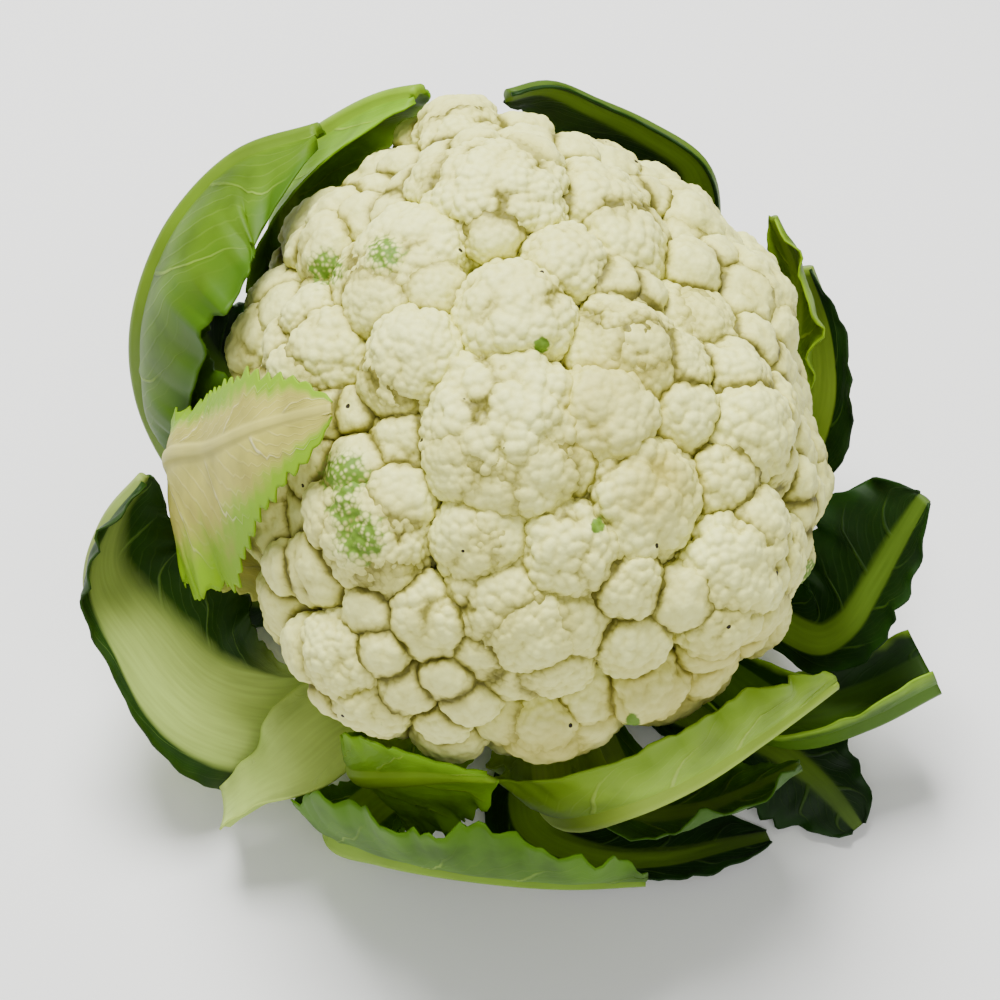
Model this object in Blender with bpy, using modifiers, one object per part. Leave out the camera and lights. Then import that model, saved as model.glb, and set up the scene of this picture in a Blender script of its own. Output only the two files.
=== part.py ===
# Cauliflower with its wrapper leaves, standing on the cut end of its stem.
# The named values are in millimetres and degrees; the meshes are in metres, +Z up.
# The origin is the centre of the stem's cut face, and the fuller side of the head faces -Y.
import math

import bmesh
import bpy
import numpy as np
from mathutils import Matrix, Vector

MM = 0.001
SEED = 11
GAP = 0.3  # between pieces that touch

# The head: an egg-like dome that holds every floret.
HEAD_CENTRE = np.array([-5.0, 2.5, 95.0])
HEAD_HALF_WIDTH = 84.5
HEAD_HALF_DEPTH = 96.5
HEAD_RISE = 86.0
HEAD_DROP = 65.0
CORE_DEPTH = 12.0
NECK_RADIUS = 25.0
NECK_TOP_RADIUS = 50.0
NECK_TOP = 62.0

# The stem under the head, cut off flat.
STEM_RADIUS = 25.0
STEM_TOP = 33.0
STEM_CHAMFER = 1.5
STEM_SIDES = 32

# A floret is a cushion of height FLORET_RISE times its radius, on a tapered root.
FLORET_RISE = 0.86
FLORET_ROOT = 1.35
FLORET_SQUARENESS = 2.3
FLORET_MAX_SINK = 1.6
BUD_RELIEF = 0.16
HEAD_DETAIL = 0.44

# Places on the fuller side are (across, up), seen from SIGHT_DISTANCE away at SIGHT_TILT
# above the horizon and measured from SIGHT_TARGET. The florets there follow with their radius.
SIGHT_TILT = 55.0
SIGHT_DISTANCE = 650.0
SIGHT_TARGET = np.array([0.0, 0.0, 95.0])
FACE_FLORETS = [
    (-21, 88, 13), (-14, 71, 20), (-33, 74, 10), (16, 76, 17), (31, 62, 14),
    (5, 55, 12), (-15, 58, 8), (-42, 57, 17), (-60, 49, 15), (-69, 42, 10),
    (-51, 39, 12), (-32, 43, 10), (-40, 25, 14), (-9, 39, 16), (14, 30, 12),
    (27, 42, 14), (45, 43, 15), (55, 39, 13), (31, 27, 10), (43, 23, 10),
    (58, 26, 12), (-62, 27, 12), (-79, 28, 9), (-51, 13, 11), (-73, 16, 11),
    (-16, 11, 22), (-27, -7, 12), (-16, -15, 12), (1, -12, 13), (11, -10, 9),
    (20, 8, 14), (35, 16, 8), (44, 8, 11), (61, 4, 14), (72, 12, 10),
    (-45, -1, 11), (-42, -15, 10), (31, -19, 18), (55, -12, 12), (70, -12, 11),
    (-53, -28, 17), (-65, -20, 11), (-47, -41, 11), (-27, -30, 12), (-11, -27, 10),
    (4, -35, 14), (-16, -46, 15), (-35, -54, 12), (-23, -66, 12), (-3, -55, 14),
    (14, -53, 13), (25, -42, 10), (27, -59, 11), (5, -70, 12), (-11, -74, 11),
    (53, -35, 17), (68, -31, 12), (47, -51, 12), (65, -51, 12), (77, -26, 8),
    (-57, -58, 13), (-45, -74, 11), (-65, -66, 10), (0, -84, 10), (19, -76, 10),
    (49, -66, 10), (60, -20, 10), (-30, -81, 9), (78, -45, 9),
]
# The florets grow in branches, each a shallow dome of its own: (across, up, radius, rise).
# A floret CLUSTER_FALL of the branch's radius lower stands at its edge, and tilts outwards.
CLUSTERS = [
    (-15, 76, 25, 4), (-42, 53, 23, 1), (-9, 39, 16, 0), (19, 70, 22, -5), (34, 46, 21, -8),
    (-11, 1, 27, 1), (20, 8, 14, -1), (31, -19, 18, 0), (-3, -57, 30, 0), (-54, -27, 23, 1),
    (62, 2, 20, 4), (56, -39, 26, 8), (-40, 26, 14, 0), (-71, 27, 17, 1), (-55, -66, 22, 7),
    (27, 27, 12, -1), (55, 34, 16, -7), (8, 55, 12, -2), (-19, -31, 12, -2), (12, -33, 13, 0),
    (-26, 91, 16, 4), (22, 88, 30, -6), (48, 72, 22, -6),
]
CLUSTER_FALL = 0.22
CLUSTER_RADII = (17.0, 26.0)
CLUSTER_SPACING = 0.85
CLEFT = 5.0  # a floret sinks no further than this between branches
# The rest of the florets fill what is left of the dome down to LOWEST_FLORET.
FILL_RADII = (9.0, 16.0)
FILL_SPACING = 0.62
FILL_TRIALS = 2500
LOWEST_FLORET = -0.70

# Leaves. path holds the midrib as (azimuth, distance from the stem's axis, height),
# azimuth 0 at -Y and 90 at +X. left and right are the half widths from base to tip,
# curl the angles at which each half blade leaves the midrib and ends, towards the head;
# tip_curl what they have turned to at the tip, over the outer half of the leaf.
# rib holds the midrib's widths and thicknesses from base to tip.
BLADE = 1.0
FLOOR_GAP = 0.5
CURL_FROM_BASE = 4.0  # a blade is flat where it leaves the stem, and fully curled a quarter of the way along
LEAF_ROWS = 14
LEAF_COLUMNS = [-2, -1.5, -1, 0, 1, 1.5, 2]
LEAVES = {
    "leaf_upper_left": dict(
        path=[(-101, 25.5, 19), (-101, 62, 24), (-102, 97, 49), (-105, 112, 82), (-109, 113, 108),
              (-117, 109, 128), (-127, 100, 142), (-136, 84, 152)],
        left=[9, 11, 22, 24, 22, 16, 10, 6], right=[9, 10, 9, 11, 27, 48, 47, 30],
        curl=(10, 40, 6, 62), rib=([17, 14, 11, 8, 5], [9, 8, 6, 4, 3]), wave=(5, 3.0), clear=4.0),
    "leaf_top_left": dict(
        path=[(-139, 25.5, 31), (-141, 60, 35), (-139, 91, 60), (-137, 106, 90), (-138, 106, 112),
              (-141, 102, 126), (-146, 94, 139), (-152, 83, 152), (-155.5, 77, 157)],
        left=[8, 10, 20, 26, 26, 26, 26, 22, 10], right=[8, 10, 22, 31, 34, 34, 30, 22, 10],
        curl=(10, 60, 25, 50), rib=([16, 12, 8, 5], [8, 6, 4, 2.5]), wave=(4, 2.0), clear=1.5),
    "leaf_pale": dict(
        path=[(-80, 25.5, 31), (-84, 62, 38), (-90, 93, 62), (-90, 100, 84), (-85, 98, 102),
              (-76, 85, 122), (-65, 71, 144), (-54, 61, 158)],
        left=[7, 8, 8, 8, 10, 14, 14, 6], right=[7, 9, 18, 28, 37, 35, 21, 7],
        curl=(4, 22, 0, 12), tip_curl=(4, 22, 6, 34),
        rib=([13, 9, 5, 3], [6, 4, 2.4, 1.6]), wave=(9, 1.2), clear=1.2),
    "leaf_left": dict(
        path=[(-61, 25.5, 7), (-60, 60, 11), (-60, 86, 20), (-65, 104, 33), (-73, 115, 50),
              (-80, 122, 63), (-84, 117, 76), (-87, 107, 87)],
        left=[7, 10, 13, 24, 36, 37, 29, 11], right=[7, 9, 12, 22, 18, 14, 16, 10],
        curl=(10, 58, -30, -55), tip_curl=(10, 74, 0, 30),
        rib=([13, 19, 27, 26, 14, 5], [9, 11, 12, 11, 5, 2.5]), wave=(4, 3.0), clear=6.0),
    "stalk_front_left": dict(
        path=[(-43, 25.5, 19), (-46, 55, 28), (-48, 80, 34), (-48, 95, 32), (-50, 106, 26), (-51, 113, 20)],
        left=[9, 10, 14, 15, 12, 9], right=[9, 10, 14, 15, 12, 9],
        curl=(0, 20, 0, 20), rib=([17, 19, 13], [8, 8, 4]), wave=(2, 0.6), clear=3.0),
    "leaf_front": dict(
        path=[(-27, 25.5, 7), (-32, 56, 8), (-37, 80, 8), (-36, 93, 15), (-26, 97, 28),
              (-11, 99, 37), (4, 103, 42), (15, 106, 42)],
        left=[6, 8, 8, 15, 32, 32, 26, 11], right=[6, 9, 12, 15, 14, 11, 7, 3],
        curl=(14, 64, -12, 10), rib=([11, 11, 8, 5], [8, 6, 4, 2.5]), wave=(5, 2.0), clear=3.0),
    "leaf_front_inner": dict(
        path=[(-31, 25.5, 31), (-33, 58, 35), (-35, 80, 42), (-32, 91, 52), (-25, 93, 64),
              (-16, 92, 74), (-8, 90, 80)],
        left=[6, 7, 7, 9, 14, 17, 8], right=[6, 8, 12, 18, 20, 18, 8],
        curl=(20, 70, -15, -35), rib=([9, 8, 5], [5, 3, 1.6]), wave=(5, 1.2), clear=1.5),
    "leaf_front_right": dict(
        path=[(0, 25.5, 31), (2, 58, 33), (5, 84, 42), (14, 91, 56), (26, 93, 64),
              (37, 94, 69), (46, 96, 71), (52, 98, 71)],
        left=[7, 10, 18, 28, 30, 26, 18, 6], right=[7, 10, 16, 14, 12, 10, 8, 4],
        curl=(20, 70, -6, 14), rib=([12, 11, 7, 4], [7, 5, 3.5, 2]), wave=(5, 2.0), clear=1.5),
    "leaf_low_right": dict(
        path=[(20, 25.5, 19), (19, 56, 20), (21, 78, 23), (30, 87, 29), (39, 93, 36), (46, 98, 41)],
        left=[8, 10, 14, 20, 20, 10], right=[8, 9, 12, 18, 16, 7],
        curl=(8, 40, -10, 4), rib=([14, 9, 4], [7, 4.5, 2]), wave=(4, 2.2), clear=4.0),
    "leaf_floor_front": dict(
        path=[(1, 25.5, 6), (-2, 48, 6), (-1, 68, 5), (11, 78, 4), (25, 85, 3), (37, 91, 3), (43, 96, 3)],
        left=[5, 8, 13, 12, 9, 9, 6], right=[7, 12, 14, 18, 20, 16, 7],
        curl=(0, -6, 0, -6), rib=([13, 9, 4], [5, 4, 1.8]), wave=(3, 1.4), clear=8.0),
    "leaf_floor_right": dict(
        path=[(48, 25.5, 7), (53, 56, 9), (56, 80, 11), (55, 99, 9), (53, 114, 5)],
        left=[7, 9, 15, 19, 8], right=[7, 9, 13, 15, 7],
        curl=(0, -8, 0, -8), rib=([13, 8, 3], [6, 4, 1.8]), wave=(3, 1.8), clear=8.0),
    "stalk_right": dict(
        path=[(62, 25.5, 19), (60, 58, 20), (58, 88, 24), (64, 102, 30), (71, 117, 37)],
        left=[9, 10, 15, 17, 17], right=[9, 10, 15, 17, 16],
        curl=(16, 66, 16, 66), rib=([17, 16, 15], [7, 6, 5]), wave=(2, 0.6), clear=3.0),
    "leaf_right": dict(
        path=[(88, 25.5, 31), (78, 60, 36), (70, 86, 43), (71, 91, 52), (75, 95, 64),
              (79, 99, 76), (83, 104, 88)],
        left=[7, 8, 8, 9, 12, 10, 4], right=[7, 8, 11, 17, 22, 25, 14],
        curl=(-30, -40, 34, 62), rib=([13, 8, 4], [6, 4, 2]), wave=(4, 2.0), clear=2.5),
    "leaf_right_back": dict(
        path=[(108, 25.5, 19), (111, 62, 23), (113, 83, 40), (117, 93, 58), (125, 99, 75), (132, 101, 88)],
        left=[8, 9, 12, 14, 12, 7], right=[8, 9, 12, 13, 11, 7],
        curl=(4, -6, 6, 20), rib=([16, 12, 11], [8, 6, 4]), wave=(4, 2.6), clear=5.0),
    "leaf_right_inner": dict(
        path=[(128, 25.5, 31), (128, 60, 39), (125, 84, 61), (126, 92, 80), (130, 94.5, 97), (136, 94.5, 110)],
        left=[7, 8, 14, 17, 16, 7], right=[7, 8, 12, 14, 12, 5],
        curl=(4, 34, 4, 24), rib=([12, 7, 3], [6, 3, 1.6]), wave=(7, 1.6), clear=1.2),
    "leaf_back_right": dict(
        path=[(160, 25.5, 19), (158, 66, 24), (153, 98, 50), (152, 106, 78), (155, 108.5, 98),
              (163, 108, 107), (171, 105.5, 116), (179, 103, 125), (185, 98, 127)],
        left=[8, 10, 14, 10, 7, 6, 6, 5, 4], right=[8, 10, 18, 26, 28, 26, 24, 18, 8],
        curl=(6, 20, 6, 40), rib=([16, 13, 9, 5], [8, 6, 4, 2.5]), wave=(4, 2.0), clear=3.0),
    "leaf_back": dict(
        path=[(-169, 25.5, 7), (-170, 66, 11), (-170, 98, 30), (-170, 112, 60), (-168, 112, 88)],
        left=[7, 10, 24, 30, 10], right=[7, 9, 22, 30, 10],
        curl=(6, 40, 6, 40), rib=([14, 12, 5], [9, 6, 2.5]), wave=(4, 2.4), clear=9.0),
    "leaf_back_left": dict(
        path=[(-130, 25.5, 7), (-129, 66, 11), (-126, 98, 28), (-122, 114, 52), (-121, 117, 76)],
        left=[7, 10, 24, 28, 10], right=[7, 10, 20, 24, 9],
        curl=(4, 34, 4, 34), rib=([14, 12, 5], [9, 6, 2.5]), wave=(4, 2.4), clear=15.0),
    "leaf_floor_left": dict(
        path=[(-95, 25.5, 7), (-95, 58, 8), (-95, 82, 8), (-94, 100, 6)],
        left=[6, 9, 16, 8], right=[6, 9, 12, 7],
        curl=(0, -6, 0, -6), rib=([10, 8, 4], [6, 4, 2]), wave=(3, 1.4), clear=10.0),
}

CREAM = (0.84, 0.80, 0.62)
PALE_GREEN = (0.55, 0.63, 0.30)
LEAF_GREEN = (0.11, 0.22, 0.035)


def head_halves(z):
    """The head's half sizes for points at height z over its centre."""
    z = np.asarray(z, float)
    rise = np.where(z > 0, HEAD_RISE, HEAD_DROP)
    return np.stack([np.full_like(z, HEAD_HALF_WIDTH), np.full_like(z, HEAD_HALF_DEPTH), rise], -1)


def on_head(direction):
    """The point where a line from the head's centre meets its dome."""
    d = np.asarray(direction, float)
    reach = 1 / np.linalg.norm(d / head_halves(d[..., 2]), axis=-1)
    return HEAD_CENTRE + d * reach[..., None]


def head_normal(point):
    q = (np.asarray(point, float) - HEAD_CENTRE)
    n = q / head_halves(q[..., 2]) ** 2
    return n / np.linalg.norm(n, axis=-1, keepdims=True)


def seen_on_head(across, up):
    """The point of the dome that shows at this place when the head is looked at from SIGHT_TILT."""
    tilt = math.radians(SIGHT_TILT)
    upward = np.array([0, math.sin(tilt), math.cos(tilt)])
    back = np.array([0, -math.cos(tilt), math.sin(tilt)])
    aim = np.array([across, 0, 0]) + upward * up - back * SIGHT_DISTANCE
    eye = back * SIGHT_DISTANCE + SIGHT_TARGET - HEAD_CENTRE
    best = None
    for rise in (HEAD_RISE, HEAD_DROP):
        halves = np.array([HEAD_HALF_WIDTH, HEAD_HALF_DEPTH, rise])
        a, b, c = aim / halves @ (aim / halves), aim / halves @ (eye / halves), eye / halves @ (eye / halves) - 1
        inside = max(b * b - a * c, 0.0)
        point = eye + aim * (-b - math.sqrt(inside)) / a
        if best is None or (point[2] > 0) == (rise == HEAD_RISE):
            best = point
    return on_head(best)


def spread(listed, radii, spacing, rng):
    """The listed (point, radius), then seeded ones wherever the dome is still bare."""
    places = list(listed)
    turn = math.pi * (3 - math.sqrt(5))
    for i in rng.permutation(FILL_TRIALS):
        z = 1 - 2 * (i + 0.5) / FILL_TRIALS
        if z < LOWEST_FLORET:
            continue
        flat = math.sqrt(1 - z * z)
        point = on_head(np.array([flat * math.cos(i * turn), flat * math.sin(i * turn), z]))
        radius = rng.uniform(*radii)
        if all(np.linalg.norm(point - p) > spacing * (radius + r) for p, r in places):
            places.append((point, radius))
    return places


def floret_places():
    """Every floret as (point, axis, radius, sink), raised or sunk with the branch that it stands on."""
    rng = np.random.default_rng(SEED)
    places = spread([(seen_on_head(u, v), r) for u, v, r in FACE_FLORETS], FILL_RADII, FILL_SPACING, rng)
    branches = spread([(seen_on_head(u, v), r) for u, v, r, _ in CLUSTERS], CLUSTER_RADII, CLUSTER_SPACING, rng)
    centre = np.array([p for p, _ in branches])
    size = np.array([r for _, r in branches])
    rise = np.array([c[3] for c in CLUSTERS] + [0.0] * (len(branches) - len(CLUSTERS)))
    florets = []
    for point, radius in places:
        off = point - centre
        fall = CLUSTER_FALL * (off ** 2).sum(1) / size
        best = (rise - fall).argmax()
        axis = head_normal(point) + 2 * CLUSTER_FALL * off[best] / size[best] * (fall[best] < CLEFT)
        axis /= np.linalg.norm(axis)
        lifted = point + head_normal(point) * (rise[best] - min(fall[best], CLEFT))
        florets.append((lifted, axis, radius, rng.uniform(0, FLORET_MAX_SINK)))
    return florets


def buds(count, rng):
    """Directions of the small buds on a floret, spread evenly and jittered."""
    turn = math.pi * (3 - math.sqrt(5))
    z = 1 - 1.25 * (np.arange(count) + 0.5) / count
    flat = np.sqrt(1 - z * z)
    a = np.arange(count) * turn + rng.uniform(0, 6.28)
    d = np.stack([flat * np.cos(a), flat * np.sin(a), z], -1) + rng.normal(0, 0.06, (count, 3))
    return d / np.linalg.norm(d, axis=1, keepdims=True)


def floret_shape(directions, radius, rng):
    """A cushion with rounded buds above, and a tapered root below."""
    d = directions
    flat = np.hypot(d[:, 0], d[:, 1])
    p = FLORET_SQUARENESS
    size = (flat ** p + np.abs(d[:, 2]) ** p) ** (-1 / p)
    count = max(7, round(radius * 1.1))
    near = (d @ buds(count, rng).T).max(axis=1)
    width = math.sqrt(2.5 / count)
    dome = np.sqrt(np.clip(1 - (np.arccos(np.clip(near, -1, 1)) / (1.35 * width)) ** 2, 0, 1))
    size = size * (1 - BUD_RELIEF * (1 - dome))
    out = d * size[:, None]
    below = np.clip(-d[:, 2], 0, 1)
    out[:, :2] *= (1 - 0.35 * below)[:, None]
    out[:, 2] *= np.where(d[:, 2] > 0, FLORET_RISE, FLORET_ROOT)
    return out * radius


def clear_scene():
    for obj in list(bpy.data.objects):
        bpy.data.objects.remove(obj)


def material(name, colour, roughness):
    made = bpy.data.materials.new(name)
    made.use_nodes = True
    shader = made.node_tree.nodes["Principled BSDF"]
    shader.inputs["Base Color"].default_value = (*colour, 1)
    shader.inputs["Roughness"].default_value = roughness
    shader.inputs["Metallic"].default_value = 0
    return made


def add_object(name, mesh, collection, look):
    obj = bpy.data.objects.new(name, mesh)
    obj.data.materials.append(look)
    collection.objects.link(obj)
    return obj


def floret_object(index, point, axis, radius, sink, collection, look):
    """One floret's closed solid."""
    rng = np.random.default_rng(SEED + 100 + index)
    bm = bmesh.new()
    bmesh.ops.create_icosphere(bm, subdivisions=2, radius=1)
    unit = np.array([v.co for v in bm.verts])
    unit /= np.linalg.norm(unit, axis=1, keepdims=True)
    for v, co in zip(bm.verts, floret_shape(unit, radius, rng) * MM):
        v.co = co
    turn = Vector(axis).to_track_quat("Z", "Y").to_matrix().to_4x4()
    place = (point - axis * (radius * FLORET_RISE + sink)) * MM
    bm.transform(Matrix.Translation(Vector(place)) @ turn)
    mesh = bpy.data.meshes.new(f"floret_{index}")
    bm.to_mesh(mesh)
    bm.free()
    return add_object(f"floret_{index}", mesh, collection, look)


def core_object(collection, look):
    """The solid heart of the head, a smaller dome."""
    bm = bmesh.new()
    bmesh.ops.create_icosphere(bm, subdivisions=3, radius=1)
    for v in bm.verts:
        halves = head_halves(v.co.z) - CORE_DEPTH
        v.co = Vector((HEAD_CENTRE + np.array(v.co) * halves) * MM)
    mesh = bpy.data.meshes.new("curd")
    bm.to_mesh(mesh)
    bm.free()
    return add_object("curd", mesh, collection, look)


def neck_object(collection, look):
    """The branches under the florets, as one cone that widens from the stem."""
    bm = bmesh.new()
    low, high = (STEM_TOP + GAP) * MM, NECK_TOP * MM
    bmesh.ops.create_cone(
        bm, cap_ends=True, segments=STEM_SIDES, radius1=NECK_RADIUS * MM, radius2=NECK_TOP_RADIUS * MM,
        depth=high - low)
    bmesh.ops.translate(bm, verts=bm.verts, vec=(0, 0, (low + high) / 2))
    mesh = bpy.data.meshes.new("neck")
    bm.to_mesh(mesh)
    bm.free()
    return add_object("neck", mesh, collection, look)


def keep_largest_body(obj):
    """Drops the closed-in hollows and loose scraps that joining the florets leaves."""
    bm = bmesh.new()
    bm.from_mesh(obj.data)
    left, groups = set(bm.verts), []
    while left:
        todo, group = [next(iter(left))], set()
        while todo:
            v = todo.pop()
            if v in left:
                left.discard(v)
                group.add(v)
                todo.extend(e.other_vert(v) for e in v.link_edges)
        groups.append(group)
    groups.sort(key=len)
    bmesh.ops.delete(bm, geom=[v for g in groups[:-1] for v in g], context="VERTS")
    bm.to_mesh(obj.data)
    bm.free()


def build_head(collection, look):
    """The florets fused to the core in one solid."""
    pieces = bpy.data.collections.new("florets")
    bpy.context.scene.collection.children.link(pieces)
    head = core_object(collection, look)
    neck_object(pieces, look)
    for index, (point, axis, radius, sink) in enumerate(floret_places()):
        floret_object(index, point, axis, radius, sink, pieces, look)
    join = head.modifiers.new("florets", "BOOLEAN")
    join.operation = "UNION"
    join.operand_type = "COLLECTION"
    join.collection = pieces
    join.solver = "MANIFOLD"
    bpy.context.view_layer.objects.active = head
    bpy.ops.object.modifier_apply(modifier=join.name)
    for obj in list(pieces.objects):
        bpy.data.objects.remove(obj)
    bpy.data.collections.remove(pieces)
    keep_largest_body(head)
    fewer = head.modifiers.new("fewer", "DECIMATE")
    fewer.ratio = HEAD_DETAIL
    return head


def build_stem(collection, look):
    """The stem's profile turned about its axis, top to bottom along its outer side."""
    profile = [
        (0, STEM_TOP), (STEM_RADIUS - STEM_CHAMFER, STEM_TOP), (STEM_RADIUS, STEM_TOP - STEM_CHAMFER),
        (STEM_RADIUS, STEM_CHAMFER), (STEM_RADIUS - STEM_CHAMFER, 0), (0, 0),
    ]
    mesh = bpy.data.meshes.new("stem")
    mesh.from_pydata([(r * MM, 0, z * MM) for r, z in profile], [(i, i + 1) for i in range(len(profile) - 1)], [])
    stem = add_object("stem", mesh, collection, look)
    screw = stem.modifiers.new("turn", "SCREW")
    screw.steps = screw.render_steps = STEM_SIDES
    screw.use_merge_vertices = True
    screw.merge_threshold = 0.0001
    return stem


def through(points, share):
    """A smooth curve through the points, read at shares of its length."""
    p = np.array(points, float)
    steps = np.linalg.norm(np.diff(p, axis=0), axis=1)
    d = np.concatenate([[0], np.cumsum(steps)]) / steps.sum()
    return cubic(d, p, share)


def evenly(values, share):
    """A smooth run of values at even stations from 0 to 1."""
    v = np.array(values, float)[:, None]
    return cubic(np.linspace(0, 1, len(v)), v, share)[:, 0]


def cubic(stations, values, share):
    slope = np.gradient(values, stations, axis=0)
    i = np.clip(np.searchsorted(stations, share, side="right") - 1, 0, len(stations) - 2)
    span = (stations[i + 1] - stations[i])[:, None]
    t = (share[:, None] - stations[i][:, None]) / span
    return (
        values[i] * (2 * t ** 3 - 3 * t ** 2 + 1) + values[i + 1] * (3 * t ** 2 - 2 * t ** 3)
        + slope[i] * span * (t ** 3 - 2 * t ** 2 + t) + slope[i + 1] * span * (t ** 3 - t ** 2)
    )


def polar_points(path):
    """(azimuth, distance, height) as x, y, z."""
    return [
        (r * math.sin(math.radians(a)), -r * math.cos(math.radians(a)), z) for a, r, z in path
    ]


def off_head(points, clear):
    """Points nearer than clear to the dome are moved out to it, with a soft start."""
    q = points - HEAD_CENTRE
    r = np.linalg.norm(q, axis=-1, keepdims=True)
    k = np.linalg.norm(q / head_halves(q[..., 2]), axis=-1, keepdims=True)
    short = clear - (r - r / k)
    lift = 0.5 * (short + np.sqrt(short ** 2 + 4))
    return points + q / r * lift


def leaf_faces(leaf, rows, columns):
    """The leaf's inner and outer face as grids of points, base to tip and left to right."""
    s = np.linspace(0, 1, rows + 1)
    mid = through(polar_points(leaf["path"]), s)
    tangent = np.gradient(mid, axis=0)
    tangent /= np.linalg.norm(tangent, axis=1, keepdims=True)
    outward = head_normal(mid)
    normal = outward - (outward * tangent).sum(1, keepdims=True) * tangent
    normal /= np.linalg.norm(normal, axis=1, keepdims=True)
    side = np.cross(tangent, normal)
    rib_half = evenly(leaf["rib"][0], s) / 2
    rib_thick = evenly(leaf["rib"][1], s)
    grown = np.minimum(1, CURL_FROM_BASE * s)
    late = np.clip(2 * s - 1, 0, 1)
    left_start, left_end, right_start, right_end = (
        math.radians(a) * grown + math.radians(b - a) * late
        for a, b in zip(leaf["curl"], leaf.get("tip_curl", leaf["curl"])))
    waves, height = leaf["wave"]
    inner = np.empty((rows + 1, len(columns), 3))
    thickness = np.empty((rows + 1, len(columns)))
    for j, c in enumerate(columns):
        sign = -1.0 if c < 0 else 1.0
        half = np.maximum(evenly(leaf["left"] if c < 0 else leaf["right"], s), rib_half + 1)
        start, end = (left_start, left_end) if c < 0 else (right_start, right_end)
        in_rib, in_blade = min(abs(c), 1.0), max(abs(c) - 1.0, 0.0)
        reach = in_rib * rib_half + in_blade * (half - rib_half)
        bend = (end - start) / half
        bend = np.where(np.abs(bend) < 1e-5, 1e-5, bend)
        angle = start + bend * reach
        sideways = (np.sin(angle) - np.sin(start)) / bend
        inwards = (np.cos(start) - np.cos(angle)) / bend
        ripple = height * in_blade ** 2 * np.sin(2 * math.pi * waves * s + (1.7 if c < 0 else 0))
        ripple = ripple * np.minimum(1, 3 * s) * np.clip((half - rib_half) / 12, 0, 1)
        across = side * sign
        inner[:, j] = (
            mid + across * (sideways - ripple * np.sin(angle))[:, None]
            - normal * (inwards + ripple * np.cos(angle))[:, None]
        )
        thickness[:, j] = BLADE + (rib_thick - BLADE) * math.sqrt(1 - in_rib ** 2)
    inner = off_head(inner, leaf["clear"])
    face = np.cross(np.gradient(inner, axis=1), np.gradient(inner, axis=0))
    face /= np.linalg.norm(face, axis=2, keepdims=True)
    outer = inner + face * thickness[..., None]
    lift = np.maximum(0, FLOOR_GAP - np.minimum(outer[..., 2], inner[..., 2]))
    inner[..., 2] += lift
    outer[..., 2] += lift
    return inner, outer


def closed_sheet(inner, outer):
    """Vertices and triangles of the solid between two grids, split alike on both faces."""
    rows, columns = inner.shape[:2]
    count = rows * columns
    number = np.arange(count).reshape(rows, columns)
    a, b, c, d = number[:-1, :-1], number[:-1, 1:], number[1:, 1:], number[1:, :-1]
    sheet = np.concatenate([np.stack([a, c, b], -1).reshape(-1, 3), np.stack([a, d, c], -1).reshape(-1, 3)])
    rim = np.concatenate([number[0], number[1:, -1], number[-1, -2::-1], number[-2:0:-1, 0]])
    ahead = np.roll(rim, -1)
    walls = np.concatenate([
        np.stack([rim, ahead, rim + count], -1), np.stack([ahead, ahead + count, rim + count], -1)])
    faces = np.concatenate([sheet, sheet[:, ::-1] + count, walls])
    points = np.concatenate([inner.reshape(-1, 3), outer.reshape(-1, 3)])
    return points, faces


def build_leaf(name, leaf, collection, look):
    inner, outer = leaf_faces(leaf, LEAF_ROWS, LEAF_COLUMNS)
    points, faces = closed_sheet(inner, outer)
    mesh = bpy.data.meshes.new(name)
    mesh.from_pydata((points * MM).tolist(), [], faces.tolist())
    mesh.shade_smooth()
    return add_object(name, mesh, collection, look)


def main():
    clear_scene()
    cauliflower = bpy.data.collections.new("cauliflower")
    bpy.context.scene.collection.children.link(cauliflower)
    build_head(cauliflower, material("curd", CREAM, 0.7))
    stalk_look = material("stalk", PALE_GREEN, 0.5)
    build_stem(cauliflower, stalk_look)
    leaf_look = material("leaf", LEAF_GREEN, 0.5)
    for name, leaf in LEAVES.items():
        build_leaf(name, leaf, cauliflower, stalk_look if name.startswith("stalk") else leaf_look)


main()
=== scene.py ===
# Cauliflower standing on its cut stem: fine florets, ribbed and veined leaves, and their finishes.
# Lengths are in millimetres in the dictionaries and in metres in the meshes.
import math
from functools import partial

import bmesh
import bpy
import numpy as np
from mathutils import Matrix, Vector


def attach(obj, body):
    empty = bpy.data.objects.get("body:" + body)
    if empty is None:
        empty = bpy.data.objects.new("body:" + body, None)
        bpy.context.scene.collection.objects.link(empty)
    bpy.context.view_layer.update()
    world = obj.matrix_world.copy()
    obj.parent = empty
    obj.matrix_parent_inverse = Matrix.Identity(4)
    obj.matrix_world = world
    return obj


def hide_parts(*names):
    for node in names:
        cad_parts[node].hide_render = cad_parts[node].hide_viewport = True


mm = 0.001
turn = math.pi * (3 - math.sqrt(5))  # the spiral angle that sets both florets and buds

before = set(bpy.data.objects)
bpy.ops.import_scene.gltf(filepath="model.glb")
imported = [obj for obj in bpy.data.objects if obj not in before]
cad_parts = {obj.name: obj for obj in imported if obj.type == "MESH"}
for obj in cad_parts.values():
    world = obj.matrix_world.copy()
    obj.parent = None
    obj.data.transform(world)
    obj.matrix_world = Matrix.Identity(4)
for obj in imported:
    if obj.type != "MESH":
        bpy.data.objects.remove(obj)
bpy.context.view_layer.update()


# Camera: it looks down at the head at the photograph's angle.
view = {"tilt": 55.0, "distance": 650.0, "target": (-10.8, -12.2, 86.5), "lens": 86.7}

tilt = math.radians(view["tilt"])
backward = np.array([0, -math.cos(tilt), math.sin(tilt)])
cameraData = bpy.data.cameras.new("camera")
cameraData.lens = view["lens"]
camera = bpy.data.objects.new("camera", cameraData)
camera.location = (np.array(view["target"]) + backward * view["distance"]) * mm
camera.rotation_euler = (math.pi / 2 - tilt, 0, 0)
bpy.context.scene.collection.objects.link(camera)
bpy.context.scene.camera = camera
print("camera placed")


# Helpers for meshes and materials


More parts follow.
